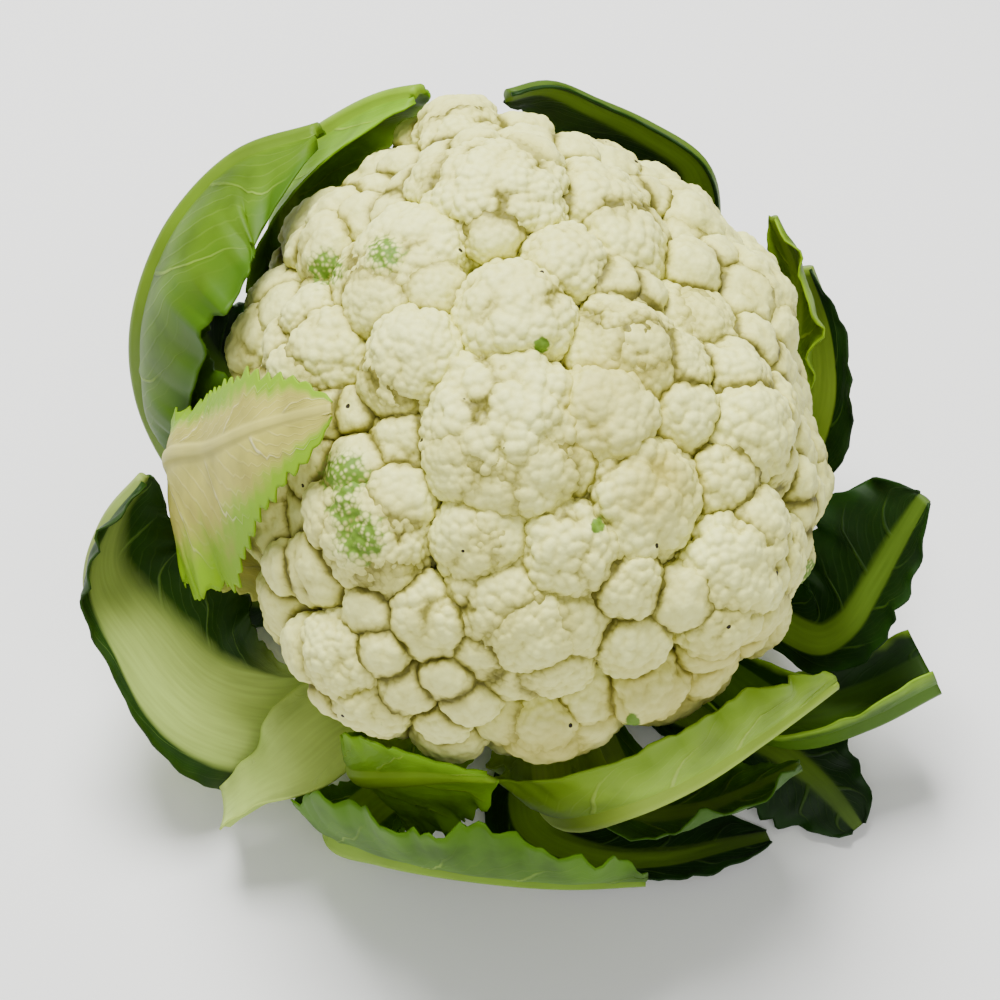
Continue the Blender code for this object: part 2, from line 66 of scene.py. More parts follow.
def linear(hexColour):
    # sRGB hex to the linear values that the shader works in
    c = np.array([int(hexColour[i:i + 2], 16) / 255 for i in (1, 3, 5)])
    c = np.where(c <= 0.04045, c / 12.92, ((c + 0.055) / 1.055) ** 2.4)
    return (*c.tolist(), 1.0)


def setInputs(node, inputs):
    # inputs by name or number, or a tuple of them in order, each a value or a link from another socket
    for key, value in inputs.items() if isinstance(inputs, dict) else enumerate(inputs):
        if isinstance(value, bpy.types.NodeSocket):
            node.id_data.links.new(value, node.inputs[key])
        else:
            node.inputs[key].default_value = value


def addNode(tree, kind, settings=None, inputs=None, output=0):
    # one node with its settings and inputs, which gives one of its outputs
    node = tree.nodes.new("ShaderNode" + kind)
    for key, value in (settings or {}).items():
        setattr(node, key, value)
    setInputs(node, inputs or {})
    return node.outputs[output]


colourMix = {"data_type": "RGBA"}
smooth = {"interpolation_type": "SMOOTHSTEP"}
plus, times, timesPlus = ({"operation": name} for name in ("ADD", "MULTIPLY", "MULTIPLY_ADD"))
larger, foldBack, scaled = ({"operation": name} for name in ("MAXIMUM", "PINGPONG", "SCALE"))


def newMaterial(name):
    # a material, its own way to add a node, and its shader
    material = bpy.data.materials.new(name)
    material.use_nodes = True
    tree = material.node_tree
    return material, partial(addNode, tree), tree.nodes["Principled BSDF"]


def quadFaces(a, b, c, d):
    # two triangles for each quad between four arrays of corners, split from a to c
    return np.concatenate([np.stack([a, b, c], -1).reshape(-1, 3), np.stack([a, c, d], -1).reshape(-1, 3)])


def makePiece(name, points, faces, attributes, material, replaced, uvs=None):
    # points in millimetres and triangles as arrays become a smooth mesh object that rides on the body
    mesh = bpy.data.meshes.new(name)
    mesh.vertices.add(len(points))
    mesh.vertices.foreach_set("co", (points * mm).astype(np.float32).ravel())
    mesh.loops.add(faces.size)
    mesh.loops.foreach_set("vertex_index", faces.astype(np.int32).ravel())
    mesh.polygons.add(len(faces))
    mesh.polygons.foreach_set("loop_start", np.arange(0, faces.size, 3, dtype=np.int32))
    mesh.polygons.foreach_set("loop_total", np.full(len(faces), 3, dtype=np.int32))
    mesh.update(calc_edges=True)
    for key, values in attributes.items():
        layer = mesh.attributes.new(key, "FLOAT", "POINT")
        layer.data.foreach_set("value", values.astype(np.float32).ravel())
    for key, values in (uvs or {}).items():
        layer = mesh.uv_layers.new(name=key)
        layer.uv.foreach_set("vector", values[faces.ravel()].astype(np.float32).ravel())
    mesh.shade_smooth()
    piece = bpy.data.objects.new(name, mesh)
    piece.data.materials.append(material)
    bpy.context.scene.collection.objects.link(piece)
    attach(piece, "root")
    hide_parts(*replaced)
    return piece


# The head

head = {
    "seed": 11,
    "centre": np.array([-5.0, 2.5, 95.0]),
    "halfWidth": 84.5, "halfDepth": 96.5, "rise": 86.0, "drop": 65.0,
    "coreDepth": 12.0, "heartDepth": 18.0,
    "floretRise": 0.86, "floretRoot": 1.35, "squareness": 2.3, "maxSink": 1.6, "rootTaper": 0.35,
    "sightTilt": 55.0, "sightDistance": 650.0, "sightTarget": np.array([0.0, 0.0, 95.0]),
    "fillRadii": (9.0, 16.0), "fillSpacing": 0.62, "fillTrials": 2500, "lowestFloret": -0.70,
    "frontEdge": 0.54, "restEdge": 1.0,  # mesh edge on the florets of the fuller side, and on the others
    "lumpSpacing": 9.2, "grainSpacing": 2.5, "soften": 0.08, "deepest": 0.80,
    # lumps and grains: how their spacing varies, and the cap that they cover as its area and lowest height
    "lumpVary": (0.85, 1.15), "lumpCover": (1.45, -0.45),
    "grainVary": (0.85, 1.2), "grainCover": (1.35, -0.35),
    "gapRadii": (7.0, 9.5), "gapDepths": (2.0, 5.0, 8.0),  # small florets between the others
    # florets of the fuller side: across, up and radius as seen from sightTilt, from sightTarget
    "face": [
        (-21, 88, 13), (-14, 71, 20), (-33, 74, 10), (16, 76, 17), (31, 62, 14),
        (5, 55, 12), (-15, 58, 8), (-42, 57, 17), (-60, 49, 15), (-69, 42, 10),
        (-51, 39, 12), (-32, 43, 10), (-40, 25, 14), (-9, 39, 16), (14, 30, 12),
        (27, 42, 14), (45, 43, 15), (55, 39, 13), (31, 27, 10), (43, 23, 10),
        (58, 26, 12), (-62, 27, 12), (-79, 28, 9), (-51, 13, 11), (-73, 16, 11),
        (-16, 11, 22), (-27, -7, 12), (-16, -15, 12), (1, -12, 13), (11, -10, 9),
        (20, 8, 14), (35, 16, 8), (44, 8, 11), (61, 4, 14), (72, 12, 10),
        (-45, -1, 11), (-42, -15, 10), (31, -19, 18), (55, -12, 12), (70, -12, 11),
        (-53, -28, 17), (-65, -20, 11), (-47, -41, 11), (-27, -30, 12), (-11, -27, 10),
        (4, -35, 14), (-16, -46, 15), (-35, -54, 12), (-23, -66, 12), (-3, -55, 14),
        (14, -53, 13), (25, -42, 10), (27, -59, 11), (5, -70, 12), (-11, -74, 11),
        (53, -35, 17), (68, -31, 12), (47, -51, 12), (65, -51, 12), (77, -26, 8),
        (-57, -58, 13), (-45, -74, 11), (-65, -66, 10), (0, -84, 10), (19, -76, 10),
        (49, -66, 10), (60, -20, 10), (-30, -81, 9), (78, -45, 9),
    ],
    # branches that carry the florets, each a shallow dome: across, up, radius and rise
    "clusters": [
        (-15, 76, 25, 4), (-42, 53, 23, 1), (-9, 39, 16, 0), (19, 70, 22, -5), (34, 46, 21, -8),
        (-11, 1, 27, 1), (20, 8, 14, -1), (31, -19, 18, 0), (-3, -57, 30, 0), (-54, -27, 23, 1),
        (62, 2, 20, 4), (56, -39, 26, 8), (-40, 26, 14, 0), (-71, 27, 17, 1), (-55, -66, 22, 7),
        (27, 27, 12, -1), (55, 34, 16, -7), (8, 55, 12, -2), (-19, -31, 12, -2), (12, -33, 13, 0),
        (-26, 91, 16, 4), (22, 88, 30, -6), (48, 72, 22, -6),
    ],
    "nearby": 1.2, "pieceTriangles": 190000, "grainStand": 0.24, "grainHollow": 0.7, "lumpHollow": 3.0,
    "creaseReach": 4.0,  # how far a crease shades the florets beside it
    "clusterFall": 0.27, "clusterRadii": (17.0, 26.0), "clusterSpacing": 0.85, "cleft": 7.0,
    # across, up and radius of the green growth, of leaf crumbs, and of spots of yellow-green painted shade
    # on the florets
    "greens": [(-54, -10, 5), (-54, -20, 2.5), (-50, -27, 5), (-59, 47, 3), (-43, 50, 3), (80, -40, 4)],
    "crumbs": [(-1, 25, 1.6), (14, -24, 1.5), (24, -76, 1.5)],
    "yellowShadeSpots": [(20, 8, 10), (31, -12, 6), (44, -70, 14), (55, -62, 12), (30, -76, 10), (0, -86, 8)],
    # blur round green growth, crumbs and the spots of yellow-green painted shade; then patterns per metre,
    # sheen and bud relief
    "greenSoft": 4.0, "crumbSoft": 0.8, "yellowSoft": 9.0,
    "clouds": 60.0, "buds": 700.0, "soil": 105.0, "soilSize": 0.07, "soilShare": 0.66,
    "roughness": 0.62, "specular": 0.3, "relief": 0.3, "reliefDepth": 0.0004,
    # shade and deep are painted shade for clefts and creases; yellow is painted yellow-green shade for the
    # spots listed above
    "curd": "#F2F59A", "shade": "#C4BC50", "deep": "#5E5A1A", "yellow": "#B9AE4C", "green": "#62841E",
    "speck": "#241E0C",
}


def headHalves(z):
    # half axes of the dome, an ellipsoid whose lower half is flatter, for heights above or below its middle
    z = np.asarray(z, float)
    return np.stack([
        np.full_like(z, head["halfWidth"]), np.full_like(z, head["halfDepth"]),
        np.where(z > 0, head["rise"], head["drop"])], -1)


def onHead(direction):
    # where a line from the head's centre meets its dome
    d = np.asarray(direction, float)
    return head["centre"] + d / np.linalg.norm(d / headHalves(d[..., 2]), axis=-1)[..., None]


def headNormal(point):
    # the dome's outward direction: each offset over its half axis squared, made a unit
    q = np.asarray(point, float) - head["centre"]
    n = q / headHalves(q[..., 2]) ** 2
    return n / np.linalg.norm(n, axis=-1, keepdims=True)


def belowDome(point):
    # depth under the dome in millimetres, negative outside
    q = point - head["centre"]
    k = np.linalg.norm(q / headHalves(q[..., 2]), axis=-1)
    return np.linalg.norm(q, axis=-1) * (1 / k - 1)


def seenOnHead(across, up):
    # the dome's point that shows at this place in the photograph's view
    a = math.radians(head["sightTilt"])
    back = np.array([0, -math.cos(a), math.sin(a)]) * head["sightDistance"]
    aim = np.array([across, 0, 0]) + np.array([0, math.sin(a), math.cos(a)]) * up - back
    eye = back + head["sightTarget"] - head["centre"]
    best = None
    for rise in (head["rise"], head["drop"]):
        halves = np.array([head["halfWidth"], head["halfDepth"], rise])
        line, start = aim / halves, eye / halves
        p, q, r = line @ line, line @ start, start @ start - 1
        point = eye + aim * (-q - math.sqrt(max(q * q - p * r, 0.0))) / p
        if best is None or (point[2] > 0) == (rise == head["rise"]):
            best = point
    return onHead(best)


def spread(listed, radii, spacing, rng):
    # the listed points and radii first, then seeded ones wherever the dome is still bare
    places = list(listed)
    for i in rng.permutation(head["fillTrials"]):
        z = 1 - 2 * (i + 0.5) / head["fillTrials"]
        if z < head["lowestFloret"]:
            continue
        flat = math.sqrt(1 - z * z)
        point = onHead(np.array([flat * math.cos(i * turn), flat * math.sin(i * turn), z]))
        radius = rng.uniform(*radii)
        if all(np.linalg.norm(point - p) > spacing * (radius + r) for p, r in places):
            places.append((point, radius))
    return places


def standing(axis):
    # the turn that stands a floret along this axis
    return np.array(Vector(axis).to_track_quat("Z", "Y").to_matrix())


def floretPlaces():
    # each floret's middle, frame and radius, raised or sunk with the branch that it stands on
    rng = np.random.default_rng(head["seed"])
    places = spread([(seenOnHead(u, v), r) for u, v, r in head["face"]],
                    head["fillRadii"], head["fillSpacing"], rng)
    branches = spread([(seenOnHead(u, v), r) for u, v, r, _ in head["clusters"]],
                      head["clusterRadii"], head["clusterSpacing"], rng)
    centre = np.array([p for p, _ in branches])
    size = np.array([r for _, r in branches])
    rise = np.array([c[3] for c in head["clusters"]] + [0.0] * (len(branches) - len(head["clusters"])))
    florets = []
    for point, radius in places:
        off = point - centre
        fall = head["clusterFall"] * (off ** 2).sum(1) / size
        best = (rise - fall).argmax()
        tilted = 2 * head["clusterFall"] * off[best] / size[best] * (fall[best] < head["cleft"])
        axis = headNormal(point) + tilted
        axis /= np.linalg.norm(axis)
        lifted = point + headNormal(point) * (rise[best] - min(fall[best], head["cleft"]))
        sink = rng.uniform(0, head["maxSink"])
        florets.append({"middle": lifted - axis * (radius * head["floretRise"] + sink),
                        "frame": standing(axis), "radius": radius,
                        "fall": min(fall[best], head["cleft"]) / head["cleft"]})
    surface = onHead(spiral(4000, head["lowestFloret"]))
    out = headNormal(surface)
    fall = head["clusterFall"] * ((surface[:, None] - centre) ** 2).sum(2) / size
    best = (rise - fall).argmax(1)
    low = np.minimum(fall[np.arange(len(fall)), best], head["cleft"])
    surface = surface + out * (rise[best] - low)[:, None]
    bare = np.ones(len(surface), bool)

    def cover(floret):
        for depth in head["gapDepths"]:
            bare[cushionShare(surface - out * depth, floret) < 1] = False

    for floret in florets:
        cover(floret)
    for i in range(len(surface)):
        if bare[i]:
            radius = rng.uniform(*head["gapRadii"])
            middle = surface[i] - out[i] * (radius * head["floretRise"] + 1)
            florets.append({"middle": middle, "frame": standing(out[i]), "radius": radius, "fall": 1.0})
            cover(florets[-1])
    return florets


def spiral(count, lowest, spin=0.0, first=0):
    # directions on a sphere from its top down to height lowest, evenly spread on a spiral
    i = np.arange(count)
    z = 1 - (1 - lowest) * (i + 0.5) / count
    flat = np.sqrt(1 - z * z)
    a = (i + first) * turn + spin
    return np.stack([flat * np.cos(a), flat * np.sin(a), z], -1)


def sphereFaces(directions):
    # triangles that join points of the unit sphere, by their convex hull, turned outwards
    mesh = bpy.data.meshes.new("ball")
    mesh.from_pydata(directions.tolist(), [], [])
    bm = bmesh.new()
    bm.from_mesh(mesh)
    bmesh.ops.convex_hull(bm, input=bm.verts)
    bmesh.ops.triangulate(bm, faces=bm.faces)
    bm.to_mesh(mesh)
    bm.free()
    found = np.empty(len(mesh.vertices) * 3, np.float32)
    mesh.vertices.foreach_get("co", found)
    found = found.reshape(-1, 3).astype(float)
    faces = np.empty(len(mesh.polygons) * 3, np.int32)
    mesh.loops.foreach_get("vertex_index", faces)
    faces = faces.reshape(-1, 3)
    a, b, c = found[faces[:, 0]], found[faces[:, 1]], found[faces[:, 2]]
    inward = (np.cross(b - a, c - a) * a).sum(1) < 0
    faces[inward] = faces[inward][:, ::-1]
    bpy.data.meshes.remove(mesh)
    return found, faces


def cushionPoints(directions, height, floret):
    # a squarish dome above and a tapered root below, in the head's frame
    flat = np.hypot(directions[:, 0], directions[:, 1])
    p = head["squareness"]
    out = directions * (height * (flat ** p + np.abs(directions[:, 2]) ** p) ** (-1 / p))[:, None]
    out[:, :2] *= (1 - head["rootTaper"] * np.clip(-directions[:, 2], 0, 1))[:, None]
    out[:, 2] *= np.where(directions[:, 2] > 0, head["floretRise"], head["floretRoot"])
    return out * floret["radius"] @ floret["frame"].T + floret["middle"]


def cushionShare(points, floret):
    # 1 on a floret's smooth cushion, less inside it and more outside
    local = (points - floret["middle"]) @ floret["frame"] / floret["radius"]
    z = local[:, 2] / np.where(local[:, 2] > 0, head["floretRise"], head["floretRoot"])
    flat = np.hypot(local[:, 0], local[:, 1]) / (1 - head["rootTaper"] * np.clip(-z, 0, 1))
    p = head["squareness"]
    return (flat ** p + np.abs(z) ** p) ** (1 / p)


def spheresOver(directions, centres, reach, size, sharp):
    # distance along each direction to a softened union of spheres set at reach along the centres
    near = directions @ centres.T
    inside = size ** 2 - reach ** 2 * (1 - near ** 2)
    out = np.where((inside > 0) & (near > 0), reach * near + np.sqrt(np.maximum(inside, 0)), 0)
    return np.log(np.exp(sharp * (out - 1)).sum(axis=1)) / sharp + 1


def jitteredSpiral(gap, cover, lowest, rng):
    # bud directions about gap apart, scattered by a sixth of it
    count = max(8, int(2 * math.pi * cover / (0.866 * gap ** 2)))
    found = spiral(count, lowest, rng.uniform(0, 6.28))
    found = found + rng.normal(0, 0.16 * gap, found.shape)
    return found / np.linalg.norm(found, axis=1, keepdims=True)


def growFloret(floret, neighbours, index, edge):
    # the exposed part is meshed finely; lumps stand on the cushion and grains on the lumps,
    # both of them rounder towards the floret's rim and flatter on its top
    rng = np.random.default_rng(head["seed"] + 100 + index)
    radius = floret["radius"]
    fine = spiral(int(4 * math.pi * radius ** 2 / (0.866 * edge ** 2)), -1.0)
    middle = cushionPoints(fine, 1.0, floret)
    hidden = belowDome(middle) > head["coreDepth"] + 6
    for other in neighbours:
        hidden |= cushionShare(middle, other) < head["deepest"]
    coarse = spiral(90, -1.0, 0.4)
    covered = belowDome(cushionPoints(coarse, 1.0, floret)) > head["coreDepth"] + 4
    for other in neighbours:
        covered |= cushionShare(cushionPoints(coarse, 1.0, floret), other) < head["deepest"] - 0.06
    directions, faces = sphereFaces(np.concatenate([fine[~hidden], coarse[covered]]))
    sharp = radius / head["soften"]
    smooth = rng.uniform(0.2, 1.0)

    lumpGap = min(head["lumpSpacing"] * rng.uniform(*head["lumpVary"]) / radius, 0.85)
    lumps = jitteredSpiral(lumpGap, *head["lumpCover"], rng)
    top = np.clip(lumps[:, 2], 0, 1)
    size = lumpGap * (0.59 + (0.02 + 0.12 * smooth) * top ** 2) * rng.uniform(0.92, 1.1, len(lumps))
    reach = 1 + rng.uniform(-0.05, 0.05, len(lumps)) + 0.02 * (1 - top) - size
    lumpHeight = spheresOver(directions, lumps, reach, size, sharp)

    grainGap = head["grainSpacing"] * rng.uniform(*head["grainVary"]) / radius
    grains = jitteredSpiral(grainGap, *head["grainCover"], rng)
    top = np.clip(grains[:, 2], 0, 1)
    size2 = grainGap * (0.61 + (0.05 + 0.24 * smooth) * top ** 2) * rng.uniform(0.9, 1.15, len(grains))
    stand = head["grainStand"] / radius
    reach2 = spheresOver(grains, lumps, reach, size, sharp) + stand * rng.uniform(0.5, 1.5, len(grains))
    reach2 = reach2 - size2
    grainHeight = spheresOver(directions, grains, reach2, size2, sharp)

    height = np.maximum(np.maximum(lumpHeight - head["grainHollow"] / radius, grainHeight), head["deepest"])
    points = cushionPoints(directions, height, floret)
    # valley and crease drive painted shade: darker down the dips between lumps and grains, near neighbouring
    # florets, and more on florets that sit low in a cleft
    lumpDip = np.clip((1.0 - lumpHeight) * radius / head["lumpHollow"], 0, 1)
    grainDip = np.clip((lumpHeight + stand - grainHeight) * radius / head["grainHollow"], 0, 1)
    valley = np.clip(1.3 * lumpDip ** 1.4 + 0.45 * grainDip ** 1.3, 0, 1.2)
    crease = np.zeros(len(points))
    for other in neighbours:
        near = (cushionShare(points, other) - 0.96) * other["radius"]
        crease = np.maximum(crease, np.clip(1 - near / head["creaseReach"], 0, 1))
    crease = crease ** 1.4 * (0.5 + 0.5 * floret["fall"])
    return points, faces, valley, crease, rng.uniform(0, 1)


def curdFinish():
    # Cauliflower curd: close-packed buds of plant tissue, matt and ivory, with painted shade from straw to
    # olive in the clefts and creases, painted yellow-green shade on a few spots, a grain of tiny buds, a few
    # soil specks and some green growth.
    material, add, shader = newMaterial("cauliflowerCurd")
    place = add("TexCoord", output="Object")
    crease, valley, tone, yellow, green = (
        add("Attribute", {"attribute_name": name}, output="Fac")
        for name in ("crease", "valley", "tone", "yellow", "green"))
    cloud = add("TexNoise", {}, {"Vector": place, "Scale": head["clouds"], "Detail": 2.0})
    buds = add("TexVoronoi", {"feature": "F1"}, {"Vector": place, "Scale": head["buds"]})

    # painted shade: how deep a point lies between florets, lumps and buds, with random patches of tone, and
    # a darker painted shade where it lies deepest
    budEdge = add("MapRange", smooth, (buds, 0.5, 0.9, 0.0, 0.12))
    dip = add("Math", times, (valley, 0.75))
    shade = add("Math", larger, (crease, dip))
    toneAndBudShade = add("Math", times, (tone, cloud))
    toneAndBudShade = add("Math", timesPlus, (toneAndBudShade, 0.3, budEdge))
    shade = add("Math", plus | {"use_clamp": True}, (shade, toneAndBudShade))
    deep = add("MapRange", smooth, (shade, 0.45, 1.1))

    # painted yellow-green shade on the listed spots, in cloudy patches
    yellowShade = add("Math", times, (yellow, cloud))
    growth = add("Math", plus, (green, buds))
    growth = add("MapRange", smooth, (growth, 0.9, 1.6))
    soil = add("TexVoronoi", {"feature": "F1"}, {"Vector": place, "Scale": head["soil"]})
    near = add("Math", {"operation": "LESS_THAN"}, (soil, head["soilSize"]))
    few = add("SeparateColor", {}, {0: soil.node.outputs["Color"]})
    few = add("Math", {"operation": "GREATER_THAN"}, (few, head["soilShare"]))
    specks = add("Math", times, (near, few))

    colour = linear(head["curd"])
    layers = {"shade": shade, "deep": deep, "yellow": yellowShade, "green": growth, "speck": specks}
    for name, share in layers.items():
        colour = add("Mix", colourMix, {0: share, 6: colour, 7: linear(head[name])}, 2)
    bump = add("Bump", {"invert": True},
               {"Height": buds, "Strength": head["relief"], "Distance": head["reliefDepth"]})
    setInputs(shader, {"Base Color": colour, "Normal": bump, "Roughness": head["roughness"],
                       "Specular IOR Level": head["specular"]})
    return material


def nearSpots(points, spots, soft):
    # 1 at the middle of any of the listed spots, falling to 0 over its radius and the soft distance,
    # measured across the line of sight so that it also colours a floret that stands lower
    a = math.radians(head["sightTilt"])
    eye = head["sightTarget"] + np.array([0, -math.cos(a), math.sin(a)]) * head["sightDistance"]
    result = np.zeros(len(points))
    for across, up, radius in spots:
        spot = seenOnHead(across, up)
        aim = (spot - eye) / np.linalg.norm(spot - eye)
        off = points - spot
        depth = off @ aim
        beside = np.linalg.norm(off - depth[:, None] * aim, axis=1)
        far = beside + np.maximum(np.abs(depth) - head["heartDepth"], 0)
        result = np.maximum(result, np.clip((radius + soft - far) / (radius + soft) * 1.6, 0, 1))
    return result


def buildHead():
    # florets grown one by one and joined into pieces, round a smooth heart that lies inside them
    material = curdFinish()
    florets = floretPlaces()
    group, made, total = [], 0, 0

    def finishGroup():
        nonlocal group, made
        starts = np.cumsum([0] + [len(g[0]) for g in group[:-1]])
        points = np.concatenate([g[0] for g in group])
        faces = np.concatenate([g[1] + s for g, s in zip(group, starts)])
        growth = nearSpots(points, head["greens"], head["greenSoft"])
        crumbs = nearSpots(points, head["crumbs"], head["crumbSoft"])
        attributes = {
            "valley": np.concatenate([g[2] for g in group]), "crease": np.concatenate([g[3] for g in group]),
            "tone": np.concatenate([np.full(len(g[0]), g[4]) for g in group]),
            "green": np.maximum(growth, 2 * crumbs),
            "yellow": nearSpots(points, head["yellowShadeSpots"], head["yellowSoft"]),
        }
        made += 1
        makePiece(f"florets_{made}", points, faces, attributes, material, ["curd"])
        group = []

    count = 0
    for index, floret in enumerate(florets):
        edge = head["frontEdge"] if index < len(head["face"]) else head["restEdge"]
        neighbours = [
            other for other in florets if other is not floret
            and np.linalg.norm(other["middle"] - floret["middle"])
            < head["nearby"] * (other["radius"] + floret["radius"])]
        item = growFloret(floret, neighbours, index, edge)
        if count + len(item[1]) > head["pieceTriangles"]:
            finishGroup()
            count = 0
        group.append(item)
        count += len(item[1])
        total += len(item[1])
    finishGroup()
    print(f"head: {len(florets)} florets in {made} pieces, {total} triangles")

    directions, faces = sphereFaces(spiral(2000, -1.0))
    points = head["centre"] + directions * (headHalves(directions[:, 2]) - head["heartDepth"])
    zero = np.zeros(len(points))
    # the heart is painted in full shade: its crease is one everywhere, which gives it the deep olive painted
    # shade
    attributes = {"valley": zero, "tone": zero, "crease": zero + 1, "green": zero, "yellow": zero}
    makePiece("heart", points, faces, attributes, material, ["curd"])


buildHead()


# The stem and the branches under the head

stem = {
    "radius": 25.0, "top": 33.0, "chamfer": 1.5, "gap": 0.3,
    "neckTopRadius": 50.0, "neckTop": 62.0, "branches": 9,
    "streaks": 260.0, "relief": 0.4, "reliefDepth": 0.0008, "roughness": 0.55,  # streaks across, per metre
    "skin": "#B9C48A", "skinShade": "#93A35C", "cut": "#DAD9B4", "cutRing": "#A9AE76",
}


def stemFinish():
    # Cut cauliflower stem: a woody pale green rind round a cream pith, with a drier ring on the cut.
    material, add, shader = newMaterial("cauliflowerStem")
    place = add("TexCoord", output="Object")
    place = add("Mapping", {}, {"Vector": place, "Scale": (1.0, 1.0, 0.15)})
    streak = add("TexNoise", {}, {"Vector": place, "Scale": stem["streaks"], "Detail": 5.0})
    cut, ring = (add("Attribute", {"attribute_name": name}, output="Fac") for name in ("cut", "ring"))
    rind, pith = (
        add("Mix", colourMix, {0: share, 6: linear(stem[light]), 7: linear(stem[dark])}, 2)
        for share, light, dark in ((streak, "skin", "skinShade"), (ring, "cut", "cutRing")))
    colour = add("Mix", colourMix, {0: cut, 6: rind, 7: pith}, 2)
    bump = add("Bump", {}, {"Height": streak, "Strength": stem["relief"], "Distance": stem["reliefDepth"]})
    setInputs(shader, {"Base Color": colour, "Normal": bump, "Roughness": stem["roughness"]})
    return material


def lathe(radii, heights, sides, flute):
    # a profile turned about the axis, its radius changed by flute(angle, row); poles at both ends
    a = np.arange(sides) * 2 * math.pi / sides
    r = np.array(radii)[:, None] * flute(a[None, :], np.arange(len(radii))[:, None])
    z = np.broadcast_to(np.array(heights)[:, None], r.shape)
    points = np.stack([r * np.sin(a), -r * np.cos(a), z], -1)
    rows = len(radii)
    n = np.arange(rows * sides).reshape(rows, sides)
    ahead = np.roll(n, -1, 1)
    low, high = rows * sides, rows * sides + 1
    faces = np.concatenate([
        quadFaces(n[:-1], ahead[:-1], ahead[1:], n[1:]), np.stack([ahead[0], n[0], np.full(sides, low)], -1),
        np.stack([n[-1], ahead[-1], np.full(sides, high)], -1)])
    poles = np.array([[0, 0, heights[0]], [0, 0, heights[-1]]], float)
    return np.concatenate([points.reshape(-1, 3), poles]), faces


def buildStem():
    # the stem: a turned profile with a chamfered cut, its round waved by two cosines that grow upwards
    material = stemFinish()
    r, top, c = stem["radius"], stem["top"], stem["chamfer"]
    radii = [3, 8, 13, 17, 19.5, 21, 22.5, r - c, r - 0.4 * c, r, r, r, r, r, r, r, r, r - c, 12]
    heights = [0, 0, 0, 0, 0, 0, 0, 0, 0.35 * c, c, 4, 8, 12, 16, 20, 24, 29, top, top]
    rng = np.random.default_rng(5)
    wave = rng.uniform(0, 6.28, 3)

    def flute(a, row):
        grown = np.clip((row - 8) / 3, 0, 1)
        return 1 - grown * (0.012 + 0.012 * np.cos(5 * a + wave[0]) + 0.006 * np.cos(9 * a + wave[1] + row))

    points, faces = lathe(radii, heights, 96, flute)
    flat = np.hypot(points[:, 0], points[:, 1])
    cut = ((points[:, 2] < 0.5) & (flat < r - 0.5 * c)).astype(float)
    ring = np.exp(-((flat - 19.5) / 2.2) ** 2)
    makePiece("cutStem", points, faces, {"cut": cut, "ring": ring}, material, ["stem"])

    # the fused branches under the florets: a cone that widens upwards, with a flute between branches
    rows = 22
    t = np.linspace(0, 1, rows)
    low, high = top + stem["gap"], stem["neckTop"]
    radii = np.concatenate([[10], r + (stem["neckTopRadius"] - r) * t ** 1.1, [stem["neckTopRadius"] - 8]])
    heights = np.concatenate([[low], low + (high - low) * t, [high + 1]])

    def branch(a, row):
        grown = np.clip((row - 1) / rows, 0, 1)
        return 1 - 0.16 * grown * (1 - np.abs(np.cos(stem["branches"] / 2 * a)) ** 0.7)

    points, faces = lathe(radii, heights, 180, branch)
    zero = np.zeros(len(points))
    makePiece("branches", points, faces, {"cut": zero, "ring": zero}, material, ["curd"])
    print("stem and branches built")


buildStem()


# The leaves

